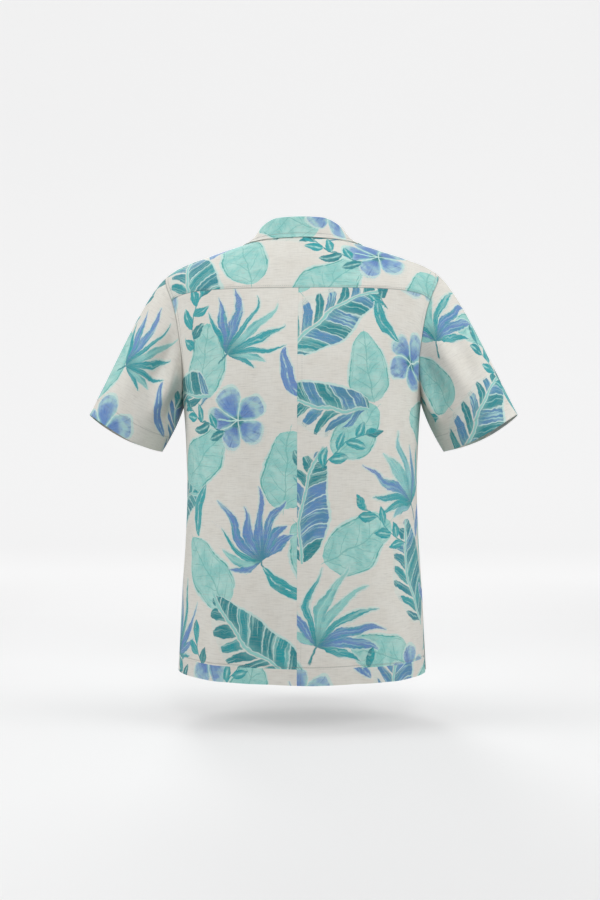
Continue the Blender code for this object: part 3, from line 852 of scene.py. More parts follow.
def behind_neck(grid):
    """Whether a grid of the yoke is its middle part."""
    return abs(grid[0, 0, 0]) + abs(grid[-1, 0, 0]) < 2.2 * NECK_HALF


def yoke_places(grid):
    """Places of a part of the yoke, given as columns from the back seam."""
    low, over = reaches(grid)[2:4]
    back_line = abs(low - YOKE_STITCH)
    if behind_neck(grid):
        return places(grid[..., 0], low, back_line, low)
    across = reaches(grid)[1] if grid[-1, 0, 0] > 0 else reaches(grid)[0]
    line = nearest(back_line, abs(over - YOKE_STITCH), abs(across - ARMHOLE_STITCH))
    return places(grid[..., 0], low, line, nearest(low, over, across))


def sleeve_places(grid):
    start, hem, first, last = reaches(grid)
    around = first - first[:, -1:] / 2
    seams = nearest(start, first, last)
    return places(around, hem, abs(hem - HEM_FOLD), seams, hemmed(hem))


def collar_places(grid, leaf):
    """Places of the collar's long part or of one of its front leaves."""
    start, end, foot, fall = reaches(grid)
    if not leaf:
        line = abs(fall - COLLAR_STITCH)
        return places(end - end[:1] / 2, -foot, line, foot, TWO_PLY)
    front, inner = (start, end) if leaf > 0 else (end, start)
    line = abs(nearest(fall, front) - COLLAR_STITCH)
    return places(leaf * (LEAF_ASIDE + inner), -foot - LEAF_DOWN, line, FAR, TWO_PLY)


def lapel_places(grid):
    low, top, first, last = reaches(grid)
    line = abs(nearest(last, top) - COLLAR_STITCH)
    return places(first, low, line, FAR)


# Cloth


def outward(points, cells):
    """The way out from a sheet at each of its points."""
    a, b, c, d = (points[cells[:, i]] for i in range(4))
    faces = np.cross(c - a, d - b)
    normals = np.zeros_like(points)
    for i in range(4):
        np.add.at(normals, cells[:, i], faces)
    return normals / np.linalg.norm(normals, axis=1)[:, None]


def joined(grids, marks):
    """Grids joined where they meet: points, cells, and the cloth places of each point."""
    cells, first = [], 0
    for grid in grids:
        cells.append(cells_of(grid) + first)
        first += grid.shape[0] * grid.shape[1]
    points = np.concatenate([grid.reshape(-1, 3) for grid in grids])
    marks = np.concatenate([mark.reshape(-1, mark.shape[-1]) for mark in marks])
    _, kept, index = np.unique(
        np.round(points * JOIN_GRAIN).astype(int), axis=0, return_index=True, return_inverse=True
    )
    return points[kept], index.reshape(-1)[np.concatenate(cells)], marks[kept]


def rims(cells):
    """Open edges of a sheet, each with the cell that it bounds."""
    starts = cells.reshape(-1)
    ends = np.roll(cells, -1, axis=1).reshape(-1)
    owner = np.repeat(np.arange(len(cells)), 4)
    most = int(cells.max()) + 1
    open_edge = ~np.isin(starts * most + ends, ends * most + starts)
    return starts[open_edge], ends[open_edge], owner[open_edge]


def new_piece(name, points, faces, *materials):
    """A smooth piece on the scene, made of points and faces."""
    mesh = bpy.data.meshes.new(name)
    mesh.from_pydata(points, [], faces)
    for material in materials:
        mesh.materials.append(material)
    mesh.shade_smooth()
    piece = bpy.data.objects.new(name, mesh)
    bpy.context.scene.collection.objects.link(piece)
    return piece


def shell(name, points, cells, marks, offset, band):
    """A closed shell of printed cloth, given its wall inward from the outer face, and
    how far its print jumps in the band turned up at its hem."""
    count = len(points)
    inner = points - outward(points, cells) * marks[:, 4:]
    start, end, owner = rims(cells)
    rim = np.stack([end, start, start + count, end + count], -1)
    faces = np.concatenate([cells, cells[:, ::-1] + count, rim])
    walls = np.concatenate([points, inner])
    piece = new_piece(name, walls, faces.tolist(), outer_cloth, inner_cloth)
    mesh = piece.data
    inside = np.zeros(len(faces), np.int32)
    inside[len(cells) : 2 * len(cells)] = 1
    mesh.polygons.foreach_set("material_index", inside)
    both = np.concatenate([marks, marks])
    keep_on_points(mesh, "cloth_place", both[:, 0] + offset[0], both[:, 1] + offset[1])
    keep_on_points(mesh, "sewing", both[:, 2], both[:, 3])
    of_cell = np.concatenate([np.arange(len(cells))] * 2 + [owner])
    turned_up = marks[cells, 4].min(axis=1) > PLY
    jump = np.array(band) / 1000 * turned_up[:, None]
    print_cloth(mesh, faces, of_cell, cells, both[:, :2] + offset, jump)
    mesh.set_sharp_from_angle(angle=CLOTH_SHARP)
    return piece


def keep_on_points(mesh, name, first, second):
    values = np.stack([first, second, 0 * first], -1).astype(np.float32)
    mesh.attributes.new(name, "FLOAT_VECTOR", "POINT").data.foreach_set("vector", values.ravel())


# Print: each motif has a kind, a middle in the repeat in millimetres, a turn in degrees,
# half its length in millimetres, and a seed for the painter's chances. Every cell of
# cloth knows the motif nearest to it in each of three layers, and where it lies in it.

REPEAT = np.array([0.620, 0.640])
PAD, BROAD_LEAF, FAN_PALM, BLOSSOM, SPRIG, STROKE = range(6)
BREADTH = np.array([0.62, 0.62, 1.0, 1.0, 0.5, 0.3])
SPRIG_PAIRS = 1.7
SPRIG_LEAN = math.radians(38)

WASHES = table(
    "kind x y turn half seed",
    (PAD, 150, 165, 50, 62, 0.12),
    (PAD, 318, 128, 110, 58, 0.57),
    (PAD, 440, 225, 20, 55, 0.83),
    (PAD, 165, 335, 140, 64, 0.31),
    (PAD, 300, 395, 75, 58, 0.72),
    (PAD, 475, 395, 150, 62, 0.44),
    (PAD, 150, 490, 100, 60, 0.93),
    (PAD, 325, 575, 15, 56, 0.26),
    (PAD, 465, 20, 80, 54, 0.65),
    (PAD, 15, 320, 95, 60, 0.08),
    (PAD, 595, 190, 60, 58, 0.51),
    (PAD, 480, 560, 130, 50, 0.38),
)
LEAVES = table(
    "kind x y turn half seed",
    (BROAD_LEAF, 72, 60, 40, 88, 0.13),
    (FAN_PALM, 235, 95, 100, 80, 0.62),
    (BLOSSOM, 385, 42, 0, 52, 0.35),
    (BROAD_LEAF, 520, 105, 145, 85, 0.74),
    (FAN_PALM, 80, 232, 60, 74, 0.27),
    (BROAD_LEAF, 250, 262, 160, 84, 0.48),
    (BLOSSOM, 378, 185, 0, 50, 0.81),
    (FAN_PALM, 510, 292, 120, 84, 0.15),
    (BROAD_LEAF, 375, 345, 75, 86, 0.92),
    (BLOSSOM, 95, 395, 0, 54, 0.56),
    (BROAD_LEAF, 228, 458, 20, 86, 0.33),
    (FAN_PALM, 400, 500, 60, 80, 0.79),
    (BROAD_LEAF, 560, 450, 100, 82, 0.05),
    (FAN_PALM, 72, 545, 130, 72, 0.41),
    (BROAD_LEAF, 540, 600, 10, 80, 0.68),
    (BLOSSOM, 250, 598, 0, 50, 0.22),
)
SPRIGS = table(
    "kind x y turn half seed",
    (SPRIG, 160, 28, 70, 62, 0.11),
    (SPRIG, 310, 190, 130, 58, 0.67),
    (SPRIG, 455, 175, 80, 60, 0.29),
    (STROKE, 18, 148, 30, 42, 0.83),
    (STROKE, 318, 30, 110, 40, 0.14),
    (SPRIG, 440, 425, 40, 62, 0.58),
    (STROKE, 168, 258, 100, 44, 0.71),
    (SPRIG, 600, 345, 95, 60, 0.36),
    (STROKE, 312, 305, 20, 42, 0.05),
    (SPRIG, 490, 540, 150, 58, 0.92),
    (STROKE, 10, 465, 70, 44, 0.47),
    (STROKE, 612, 15, 140, 42, 0.62),
    (SPRIG, 165, 400, 30, 58, 0.76),
    (STROKE, 330, 430, 135, 42, 0.31),
    (SPRIG, 160, 570, 110, 58, 0.53),
    (STROKE, 440, 95, 60, 40, 0.98),
)


def print_cloth(mesh, faces, of_cell, cells, spots, jump):
    """Gives every corner of the cloth its place in the nearest motif of each layer."""
    middles = spots[cells].mean(axis=1) + jump
    corners = faces.reshape(-1)
    for name, chart in (("wash", WASHES), ("leaf", LEAVES), ("sprig", SPRIGS)):
        near = nearest_motif(chart, middles)[of_cell]
        kind, x, y, turn, half, seed = (column[near].repeat(4) for column in chart.values())
        away = spots[corners] + jump[of_cell].repeat(4, axis=0) - np.stack([x, y], -1) / 1000
        middle_away = (middles[of_cell] - np.stack([x[::4], y[::4]], -1) / 1000).repeat(4, axis=0)
        away -= np.round(middle_away / REPEAT) * REPEAT
        along, across = turned(away, np.radians(turn))
        values = np.stack([along / half, across / half], -1) * 1000
        values = np.concatenate([values, (kind + seed)[:, None]], 1).astype(np.float32)
        layer = mesh.attributes.new(name, "FLOAT_VECTOR", "CORNER")
        layer.data.foreach_set("vector", values.ravel())


def turned(away, turn):
    cosine, sine = np.cos(turn), np.sin(turn)
    return away[:, 0] * cosine + away[:, 1] * sine, away[:, 1] * cosine - away[:, 0] * sine


def nearest_motif(chart, middles):
    """The number of the motif nearest to each place, by its own long and short axes."""
    best, near = np.full(len(middles), np.inf), np.zeros(len(middles), int)
    for i, (kind, x, y, turn, half, _) in enumerate(zip(*chart.values())):
        away = middles - np.array([x, y]) / 1000
        away = away - np.round(away / REPEAT) * REPEAT
        along, across = turned(away, math.radians(turn))
        distance = np.hypot(along, across / BREADTH[int(kind)]) / half
        closer = distance < best
        best[closer], near[closer] = distance[closer], i
    return near


# Paints, in screen colours


def paint(red, green, blue):
    screen = np.array([red, green, blue]) / 255
    light = np.where(screen <= 0.04045, screen / 12.92, ((screen + 0.055) / 1.055) ** 2.4)
    return (*light, 1.0)


GROUND = paint(235, 233, 225)
GROUND_THIN = paint(227, 222, 211)
HALO = paint(206, 234, 228)
AQUA = paint(150, 216, 210)
AQUA_PALE = paint(184, 230, 222)
OUTLINE = paint(72, 180, 174)
TEAL = paint(18, 166, 174)
TEAL_DARK = paint(2, 134, 144)
LILAC = paint(98, 142, 204)
LILAC_PALE = paint(142, 180, 218)
LILAC_DARK = paint(74, 116, 184)
THREAD_GREY = paint(150, 152, 148)
THREAD_PALE = paint(172, 174, 168)
YARN_SHADE = paint(176, 172, 162)
# the colour of the painted shade in stitch troughs and seam dips
SEAM_PAINTED_SHADE = paint(96, 102, 104)
SHELL_PALE = paint(238, 236, 228)
SHELL_GREY = paint(206, 212, 208)
FLOOR_PALE = paint(176, 176, 176)
FLOOR_PALER = paint(178, 178, 178)

TINY = 0.0001
WARP_PITCH = 2 * math.pi / 0.00042


class Value:
    """What a node gives, for writing sums and products with."""

    def __init__(self, bench, socket):
        self.bench, self.socket = bench, socket

    def __add__(self, other):
        return self.bench.math("ADD", self, other)

    def __radd__(self, other):
        return self.bench.math("ADD", other, self)

    def __sub__(self, other):
        return self.bench.math("SUBTRACT", self, other)

    def __rsub__(self, other):
        return self.bench.math("SUBTRACT", other, self)

    def __mul__(self, other):
        return self.bench.math("MULTIPLY", self, other)

    def __rmul__(self, other):
        return self.bench.math("MULTIPLY", other, self)

    def __truediv__(self, other):
        return self.bench.math("DIVIDE", self, other)

    def __pow__(self, power):
        return self.bench.math("POWER", self, power)

    def __abs__(self):
        return self.bench.math("ABSOLUTE", self)


class Bench:
    """Short words for placing the nodes of one material or group."""

    def __init__(self, tree):
        self.tree = tree

    def put(self, socket, value):
        if isinstance(value, Value):
            self.tree.links.new(value.socket, socket)
        else:
            socket.default_value = value

    def fill(self, node, inputs):
        pairs = inputs.items() if isinstance(inputs, dict) else enumerate(inputs)
        for name, value in pairs:
            self.put(node.inputs[name], value)

    def add(self, kind, inputs=(), **settings):
        """A new node with its settings and inputs, as what it gives."""
        node = self.tree.nodes.new("ShaderNode" + kind)
        for name, value in settings.items():
            setattr(node, name, value)
        self.fill(node, inputs)
        return [Value(self, socket) for socket in node.outputs]

    def math(self, operation, *values):
        return self.add("Math", values, operation=operation)[0]

    def most(self, *values):
        return functools.reduce(lambda a, b: self.math("MAXIMUM", a, b), values)

    def root(self, value):
        return self.math("SQRT", value)

    def step(self, value, low, high):
        """0 at low and 1 at high, with a soft turn between."""
        between = {"Value": value, "From Min": low, "From Max": high}
        return self.add("MapRange", between, interpolation_type="SMOOTHSTEP")[0]

    def within(self, off, half, over, under):
        """1 inside half a breadth, with an edge that softens from under it to over it."""
        return self.step(off, half + over, half - under)

    def vector(self, x=0.0, y=0.0, z=0.0):
        return self.add("CombineXYZ", (x, y, z))[0]

    def parts(self, vector):
        return self.add("SeparateXYZ", (vector,))

    def noise(self, vector, scale, detail=1.0):
        return self.add("TexNoise", {"Vector": vector, "Scale": scale, "Detail": detail})[0]

    def chance(self, a, b):
        return self.add("TexWhiteNoise", {"Vector": self.vector(a, b)}, noise_dimensions="2D")[0]

    def between(self, share, one, other):
        return self.add("Mix", {0: share, 2: one, 3: other})[0]

    def colour(self, share, one, other):
        return self.add("Mix", {0: share, 6: one, 7: other}, data_type="RGBA")[2]

    def coats(self, colour, *coats):
        """A colour under coats of paint, each a share and a colour."""
        for share, coat in coats:
            colour = self.colour(share, colour, coat)
        return colour

    def kept(self, name):
        """What the cloth keeps under a name."""
        return self.add("Attribute", attribute_name=name)[1]

    def spot(self):
        """A place on the piece itself, in metres."""
        return self.add("TexCoord")[3]

    def seen(self):
        """Whether the camera looks straight at the place."""
        return self.add("LightPath")[0]

    def bump(self, strength, distance, height, **below):
        inputs = {"Strength": strength, "Distance": distance, "Height": height, **below}
        return self.add("Bump", inputs)[0]

    def group(self, tree, *inputs):
        return self.add("Group", inputs, node_tree=tree)


def grouped(inputs, outputs):
    """Makes a group of nodes of what a function draws on its bench."""

    def group_of(draw):
        tree = bpy.data.node_groups.new(draw.__name__, "ShaderNodeTree")
        for words, way in ((inputs, "INPUT"), (outputs, "OUTPUT")):
            for word in words.split():
                label, kind = word.split(":")
                tree.interface.new_socket(label, in_out=way, socket_type="NodeSocket" + kind)
        b = Bench(tree)
        entry = tree.nodes.new("NodeGroupInput")
        leave = tree.nodes.new("NodeGroupOutput")
        given = [Value(b, socket) for socket in entry.outputs][:-1]
        b.fill(leave, draw(b, *given))
        return tree

    return group_of


@grouped("Place:Vector", "Along:Float Across:Float Seed:Float")
def hand_wobble(b, place):
    """A motif's place with the wavering of a hand, and its seed."""
    along, across, kind = b.parts(place)
    seed = b.math("FRACT", kind)
    shift = seed * 23.0
    at = b.vector(along + shift, across - shift, seed)
    wide = b.parts(b.add("TexNoise", {"Vector": at, "Scale": 1.9, "Detail": 0.0})[1])
    fine = b.parts(b.add("TexNoise", {"Vector": at, "Scale": 11.0, "Detail": 1.0})[1])
    moved = [
        value + (broad - 0.5) * 0.22 + (small - 0.5) * 0.05
        for value, broad, small in zip((along, across), wide, fine)
    ]
    return *moved, seed


@grouped("Along:Float Across:Float Seed:Float", "Streak:Float Pool:Float")
def brush_marks(b, along, across, seed):
    """Marks of a brush drawn along a stroke: pale streaks, dry gaps and pooled paint."""
    shift = seed * 41.0
    drawn = b.vector(along * 1.6 + shift, across * 26.0, shift)
    streak = b.step(b.noise(drawn, 1.0, 2.0), 0.50, 0.66)
    pool = b.step(b.noise(b.vector(along + shift, across, seed), 4.2, 3.0), 0.35, 0.68)
    return streak, pool


def motif(draw):
    """Makes the group of a motif, drawn in its own wavering place."""

    @functools.wraps(draw)
    def placed(b, place):
        return draw(b, *b.group(hand_wobble, place))

    return grouped("Place:Vector", "Colour:Color Cover:Float Halo:Float")(placed)


@motif
def pad_motif(b, along, across, seed):
    """A rounded wash with a thin drawn outline and faint veins."""
    span = 0.6 * b.root(b.most(1.0 - along * along, TINY)) * (1.0 - 0.28 * along)
    out = abs(across)
    edge = out / span
    streak, pool = b.group(brush_marks, along, across * 0.5, seed)
    body = b.coats(b.colour(pool, AQUA, AQUA_PALE), (streak * 0.35, AQUA))
    veins = abs(b.math("FRACT", (along - out * 0.9) * 2.7) - 0.5)
    drawn = b.step(veins, 0.05, 0.02) * b.step(edge, 0.8, 0.5) * 0.45
    rim = b.step(edge, 0.89, 0.95) * (0.35 + b.step(pool, 0.8, 0.3) * 0.65)
    second = b.step(abs(edge - 0.84), 0.022, 0.008) * pool * 0.7
    centre = b.step(out, 0.022, 0.010)
    hatched = b.vector((along + across) * 5.0, (along - across) * 30.0, seed)
    pencil = b.step(b.noise(hatched, 1.0, 2.0), 0.54, 0.66) * (1.0 - pool) * 0.38
    line = b.most(rim, drawn, centre * 0.5, second, pencil)
    halo = b.step(edge, 1.09, 1.05)
    return b.colour(line, body, OUTLINE), b.step(edge, 1.0, 0.965), halo


@motif
def broad_leaf_motif(b, along, across, seed):
    """A ribbed leaf: one half closed, the other split into fingers."""
    middle = across - (along * along * 0.17 - 0.06)
    out = abs(middle)
    edge = out / (0.5 * b.most(1.0 - along * along, TINY) ** 0.62 * (1.0 - 0.18 * along))
    swept = along - (out * 0.95 - out * out * 0.6)
    count = swept * 3.7 + seed
    rib = b.math("FLOOR", count)
    phase = abs(b.math("FRACT", count) - 0.5) * 2.0
    luck = b.chance(rib, seed)
    streak, pool = b.group(brush_marks, out, swept, seed)
    vein = b.step(phase, 0.86, 0.96) * b.step(edge, 0.02, 0.2)
    closed = b.step(edge, 1.0, 0.955) * (1.0 - vein * 0.9)
    tip = b.within(edge, 0.74 + luck * 0.26, 0.02, 0.03)
    fingers = b.within(phase, 0.84 - edge * edge * 0.62, 0.06, 0.06) * tip
    side = b.math("GREATER_THAN", middle, 0.0)
    stalk = b.step(out, 0.028, 0.014) * b.step(abs(along), 1.12, 1.06)
    inside = b.step(edge, 1.0, 0.9)
    tone = b.coats(
        TEAL,
        (b.step(phase, 0.45, 0.9) * 0.75, AQUA),
        (b.step(luck, 0.52, 0.56) * 0.85, TEAL_DARK),
        (b.step(luck, 0.20, 0.16) * 0.9, LILAC),
        (streak * 0.75, AQUA_PALE),
        (b.step(edge, 0.3, 0.05) * 0.4, AQUA),
        (pool * 0.45, TEAL_DARK),
        (stalk, AQUA),
    )
    cut = b.step(out, 0.045, 0.03) * (1.0 - stalk)
    cover = (side * closed + (1.0 - side) * fingers) * (1.0 - cut)
    halo = b.most(b.step(edge, 1.08, 1.04), stalk) * b.most(side, inside * 0.25)
    return tone, b.most(cover, stalk), halo


@motif
def fan_palm_motif(b, along, across, seed):
    """Slim leaflets spread like a fan from one foot."""
    spread, leaflets = 1.5, 9
    forward = along + 0.78
    radius = b.root(forward * forward + across * across + TINY)
    angle = b.math("ARCTAN2", across, forward)
    sway = b.math("SINE", radius * 2.3 + seed * 6.28) * 0.2
    count = (angle + sway) * (leaflets / (2 * spread))
    leaflet = b.math("ROUND", count)
    luck, other_luck = b.chance(leaflet, seed), b.chance(leaflet + 50.0, seed)
    share = radius / ((1.16 + luck * 0.5) * (1.0 - angle * angle * 0.24))
    plump = b.math("SINE", b.math("MINIMUM", share, 1.0) ** 0.8 * math.pi)
    half = (0.062 + other_luck * 0.06) * plump
    off = abs(count - leaflet) * radius * (2 * spread / leaflets)
    inside = b.step(share, 1.0, 0.985) * b.step(abs(count), leaflets / 2 + 0.1, leaflets / 2)
    cover = b.within(off, half, 0.008, 0.008) * inside
    halo = b.step(off, half + 0.04, half + 0.02) * inside * 0.6
    foot = b.step(abs(across), 0.026, 0.012) * b.step(abs(along + 0.95), 0.2, 0.16)
    streak, pool = b.group(brush_marks, radius, count * 0.3, seed)
    tone = b.coats(
        TEAL,
        (b.step(other_luck, 0.30, 0.34), LILAC),
        (b.step(other_luck, 0.74, 0.78), AQUA),
        (streak * 0.55, AQUA_PALE),
        (pool * b.step(off * 9.0, 0.1, 0.6) * 0.7, TEAL),
        (b.step(share, 0.35, 0.05) * 0.7, TEAL_DARK),
    )
    return tone, b.most(cover, foot), halo


@motif
def blossom_motif(b, along, across, seed):
    """Five rounded petals round a dark heart."""
    radius = b.root(along * along + across * across + TINY)
    count = (b.math("ARCTAN2", across, along) + seed * 9.0) * (5 / (2 * math.pi))
    petal = b.math("ROUND", count)
    away = abs(count - petal) * 2.0
    luck = b.chance(petal, seed)
    share = radius / (0.84 + luck * 0.16 - away**2.6 * 0.42)
    gap = (1.0 - away) * radius * (math.pi / 5)
    cover = b.step(share, 1.0, 0.97) * b.step(gap, 0.008, 0.026)
    streak, pool = b.group(brush_marks, radius, count * 0.55, seed)
    style = b.step(abs(across), 0.034, 0.018) * b.step(abs(along - 0.3), 0.34, 0.3)
    tone = b.coats(
        LILAC,
        (b.step(share, 0.5, 0.98), LILAC_PALE),
        (streak * 0.8, LILAC_DARK),
        (b.step(gap, 0.10, 0.03) * 0.7, AQUA),
        (pool * b.step(share, 0.3, 0.8) * 0.75, AQUA_PALE),
        (b.step(radius + luck * 0.1, 0.30, 0.16), TEAL_DARK),
        (style, AQUA_PALE),
    )
    return tone, cover, b.step(share, 1.09, 1.05)


@motif
def sprig_motif(b, along, across, seed):
    """A stem with slim leaves to either side in turn, and one at its tip."""
    middle = across - (along * along * 0.2 - 0.08)
    side = b.math("GREATER_THAN", middle, 0.0)
    out = abs(middle)
    count = (along + 1.0) * SPRIG_PAIRS + side * 0.5
    leaf = b.math("FLOOR", count)
    ahead = b.math("FRACT", count) * (1 / SPRIG_PAIRS)
    luck = b.chance(leaf, seed + side)
    lean_cosine, lean_sine = math.cos(SPRIG_LEAN), math.sin(SPRIG_LEAN)
    length = ahead * lean_cosine + out * lean_sine
    off = abs(out * lean_cosine - ahead * lean_sine)
    share = length / (0.50 + luck * 0.12)
    half = 0.135 * b.math("SINE", b.math("MINIMUM", share, 1.0) ** 0.85 * math.pi)
    grown = b.step(leaf - side, -0.5, -0.4) * b.step(leaf, 2.6, 2.4)
    within = b.step(along, 0.66, 0.6) * b.step(along, -1.0, -0.95) * b.step(share, 0.99, 0.96)
    leaves = b.within(off, half, 0.008, 0.010) * (within * grown)
    ahead_tip = (along - 0.42) / 0.58
    tip_share = b.math("MINIMUM", b.most(ahead_tip, 0.0), 1.0)
    tip = b.within(out, 0.125 * b.math("SINE", tip_share * math.pi), 0.006, 0.012)
    tip = tip * b.step(ahead_tip, 0.0, 0.05) * b.step(ahead_tip, 1.0, 0.96)
    stem = b.step(out, 0.022, 0.010) * b.step(abs(along + 0.2), 0.84, 0.78)
    streak, pool = b.group(brush_marks, length, off, seed)
    tone = b.coats(
        b.colour(b.step(luck, 0.55, 0.6), TEAL, TEAL_DARK),
        (b.step(off, 0.035, 0.01) * pool, AQUA_PALE),
        (streak * 0.4, AQUA),
    )
    return tone, b.most(leaves, tip, stem), 0.0


@motif
def stroke_motif(b, along, across, seed):
    """One long slim leaf with a broken pale midline."""
    out = abs(across - (along * along * 0.3 - 0.1))
    half = 0.24 * b.most(1.0 - along * along, TINY) ** 0.85
    ends = b.step(abs(along), 0.985, 0.95)
    streak, pool = b.group(brush_marks, along, across, seed)
    tone = b.coats(
        b.colour(b.step(seed, 0.5, 0.52), LILAC, TEAL),
        (b.step(out, 0.04, 0.015) * pool, HALO),
        (streak * 0.4, AQUA),
    )
    halo = b.step(out, half + 0.07, half + 0.04) * ends * 0.7
    return tone, b.within(out, half, 0.012, 0.012) * ends, halo


LAYERS = {
    "wash": {PAD: pad_motif},
    "leaf": {BROAD_LEAF: broad_leaf_motif, FAN_PALM: fan_palm_motif, BLOSSOM: blossom_motif},
    "sprig": {SPRIG: sprig_motif, STROKE: stroke_motif},
}


def print_layer(b, layer, base):
    """Lays one layer of motifs over a colour, and says where it covers it."""
    place = b.kept(layer)
    along, across, code = b.parts(place)
    number = b.math("FLOOR", code)
    colour = None
    for kind, tree in LAYERS[layer].items():
        tint, spread, rim = b.group(tree, place)
        wide = across * (1 / float(BREADTH[kind]))
        near = b.step(b.root(along * along + wide * wide), 1.16, 1.08)
        spread, rim = spread * near, rim * near
        if colour is None:
            colour, cover, halo = tint, spread, rim
            continue
        mine = b.math("COMPARE", number, float(kind), 0.1)
        colour = b.colour(mine, colour, tint)
        cover, halo = b.between(mine, cover, spread), b.between(mine, halo, rim)
    return b.coats(base, (halo, HALO), (cover, colour)), cover


@grouped("", "Colour:Color Paint:Float")
def tropical_print(b):
    """The cloth's cream ground with its motifs, and how much paint lies on it."""
    mottle = b.step(b.noise(b.kept("cloth_place"), 34.0, 2.0), 0.35, 0.7)
    colour, covers = b.colour(mottle * 0.35, GROUND, GROUND_THIN), []
    for layer in LAYERS:
        colour, cover = print_layer(b, layer, colour)
        covers.append(cover)
    return colour, b.most(*covers)


@grouped("Place:Vector", "Tone:Float Height:Float")
def slub_weave(b, place):
    """Plain weave with thick and thin yarns: a tone over the colour, and a height."""
    across, up, _ = b.parts(place)
    warp = b.math("SINE", across * WARP_PITCH)
    weft = b.math("SINE", up * (WARP_PITCH * 0.86))
    weave = warp * weft
    thick = b.step(b.noise(b.vector(across * 52.0, up * 640.0), 1.0, 2.0), 0.44, 0.66)
    fine = b.noise(b.vector(across * 460.0, up * 60.0), 1.0, 1.0)
    dark = b.step(b.noise(b.vector(across * 55.0, up * 430.0, 7.0), 1.0, 2.0), 0.57, 0.70)
    tone = thick * 0.5 + fine * 0.6 + weave * 0.08 + dark * 0.65
    return tone, weave * 0.5 + thick * 0.7


@grouped("Sewing:Vector Place:Vector", "Shade:Float Height:Float")
def painted_seam_shade_and_dip(b, sewing, place):
    """Painted shade in the trough along stitches and the dip at a seam, and the height of both.
    """
    line, edge, _ = b.parts(sewing)
    trough = b.step(line, 0.0014, 0.0002)
    pucker = b.step(line, 0.007, 0.0005) * (b.noise(place, 210.0, 1.0) - 0.5)
    dip = b.step(edge, 0.0018, 0.0)
    return b.most(trough * 0.5, dip), trough * -0.5 + dip * -1.0 + pucker * 0.5


def new_material(name):
    """A material with its bench and its finish."""
    material = bpy.data.materials.new(name)
    material.use_nodes = True
    tree = material.node_tree
    return material, Bench(tree), tree.nodes["Principled BSDF"]


def cloth_finish(name, reverse):
    """Printed cloth, or its paler reverse."""
    material, b, finish = new_material(name)
    place = b.kept("cloth_place")
    colour, covered = b.group(tropical_print)
    tone, rough = b.group(slub_weave, place)
    shade, sunk = b.group(painted_seam_shade_and_dip, b.kept("sewing"), place)
    if reverse:
        colour = b.colour(0.55, colour, GROUND_THIN)
    inputs = {
        # slub yarns tone the colour, and painted shade darkens it in stitch troughs and seam dips
        "Base Color": b.coats(colour, (tone * 0.25, YARN_SHADE), (shade * 0.40, SEAM_PAINTED_SHADE)),
        "Roughness": 0.86 - covered * 0.08,
        "Sheen Weight": 0.12,
        "Sheen Roughness": 0.45,
        "Specular IOR Level": 0.25,
        "Normal": b.bump(0.8, 0.0006, sunk, Normal=b.bump(0.35, 0.00012, rough)),
    }
    b.fill(finish, inputs)
    return material


outer_cloth = cloth_finish("printed_cloth", False)
inner_cloth = cloth_finish("printed_cloth_inside", True)


def cloth_piece(name, grids, marks, offset, band=(0, 0)):
    points, cells, marks = joined(grids, marks)
    a, b, c, d = (points[cells[:, i]] for i in range(4))
    area = np.linalg.norm(np.cross(c - a, d - b), axis=1).sum() / 2
    piece = shell(name + "_piece", points, cells, marks, np.array(offset) / 1000, band)
    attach(piece, "root")
    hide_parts(name)
    name + "_cloth"
    return piece


def other_side(marks):
    """Places of the mirrored piece, whose print runs on the same way up."""
    return (marks * (-1, 1, 1, 1, 1))[:, ::-1]


plain_back = back_grid()
back = creased(plain_back, BACK_CREASES, 1)
right_back = creased(mirrored_rows(plain_back), BACK_CREASES, 1)
yoke = yoke_grids()
left = creased(front_grid(CLOTH + LIE), FRONT_CREASES, -1)
right = creased(mirrored_rows(front_grid(0.0)), FRONT_CREASES, -1)
under = mirrored_rows(right)
sleeve = sleeve_grid(LEFT_FOLDS, HEM_TILTS[0])
right_sleeve = mirrored_rows(sleeve_grid(RIGHT_FOLDS, HEM_TILTS[1]))
body = surface_tree(left, right)
own_side = surface_tree(under)
lapel_left = lapel_grid(body, *LEFT_LAPEL_START)
lapel_right = mirrored_rows(lapel_grid(own_side, *RIGHT_LAPEL_START))
collar = collar_grids(surface_tree(*yoke, left, mirrored_rows(left)), under)

COLLAR_LEAVES = 0, 1, -1  # the collar's long part and its two front leaves


def right_places(places_of, grid, *more):
    """Places of a right piece, worked out as if it lay on the left."""
    return other_side(places_of(mirrored_rows(grid), *more))


right_back_marks = right_places(body_places, right_back, False)

# Each cloth piece: its grids, their places, and where its print starts, in millimetres,
# and how far the print jumps in a hem's turned-up band.
PANELS = (
    ("back_left", [back], [body_places(back, False)], (0, 0), (236, 148)),
    ("back_right", [right_back], [right_back_marks], (-47, 183), (150, 236)),
    ("yoke", yoke, [yoke_places(grid) for grid in yoke], (212, 331)),
    ("front_left", [left], [body_places(left, True)], (385, 96), (90, 210)),
    ("front_right", [right], [right_places(body_places, right, True)], (118, 270), (205, 120)),
    ("sleeve_left", [sleeve], [sleeve_places(sleeve)], (164, 402)),
    ("sleeve_right", [right_sleeve], [right_places(sleeve_places, right_sleeve)], (431, 77)),
    ("lapel_left", [lapel_left], [lapel_places(lapel_left)], (57, 520)),
    ("lapel_right", [lapel_right], [right_places(lapel_places, lapel_right)], (505, 209)),
    ("collar", collar, [collar_places(*leaf) for leaf in zip(collar, COLLAR_LEAVES)], (300, 610)),
)
pieces = {panel[0]: cloth_piece(*panel) for panel in PANELS}


# Sewing


def line_at(grid, reach, distance, over_rows):
    """Points of a grid at a distance from one of its edges, each with its way out."""
    facing = outward(grid.reshape(-1, 3), cells_of(grid)).reshape(grid.shape)
    field = np.concatenate([grid, facing], -1)
    if not over_rows:
        field, reach = field.transpose(1, 0, 2), reach.T
    found = []
    for line, far in zip(field, reach):
        order = np.argsort(far)
        found.append([np.interp(distance, far[order], column[order]) for column in line.T])
    return np.array(found)


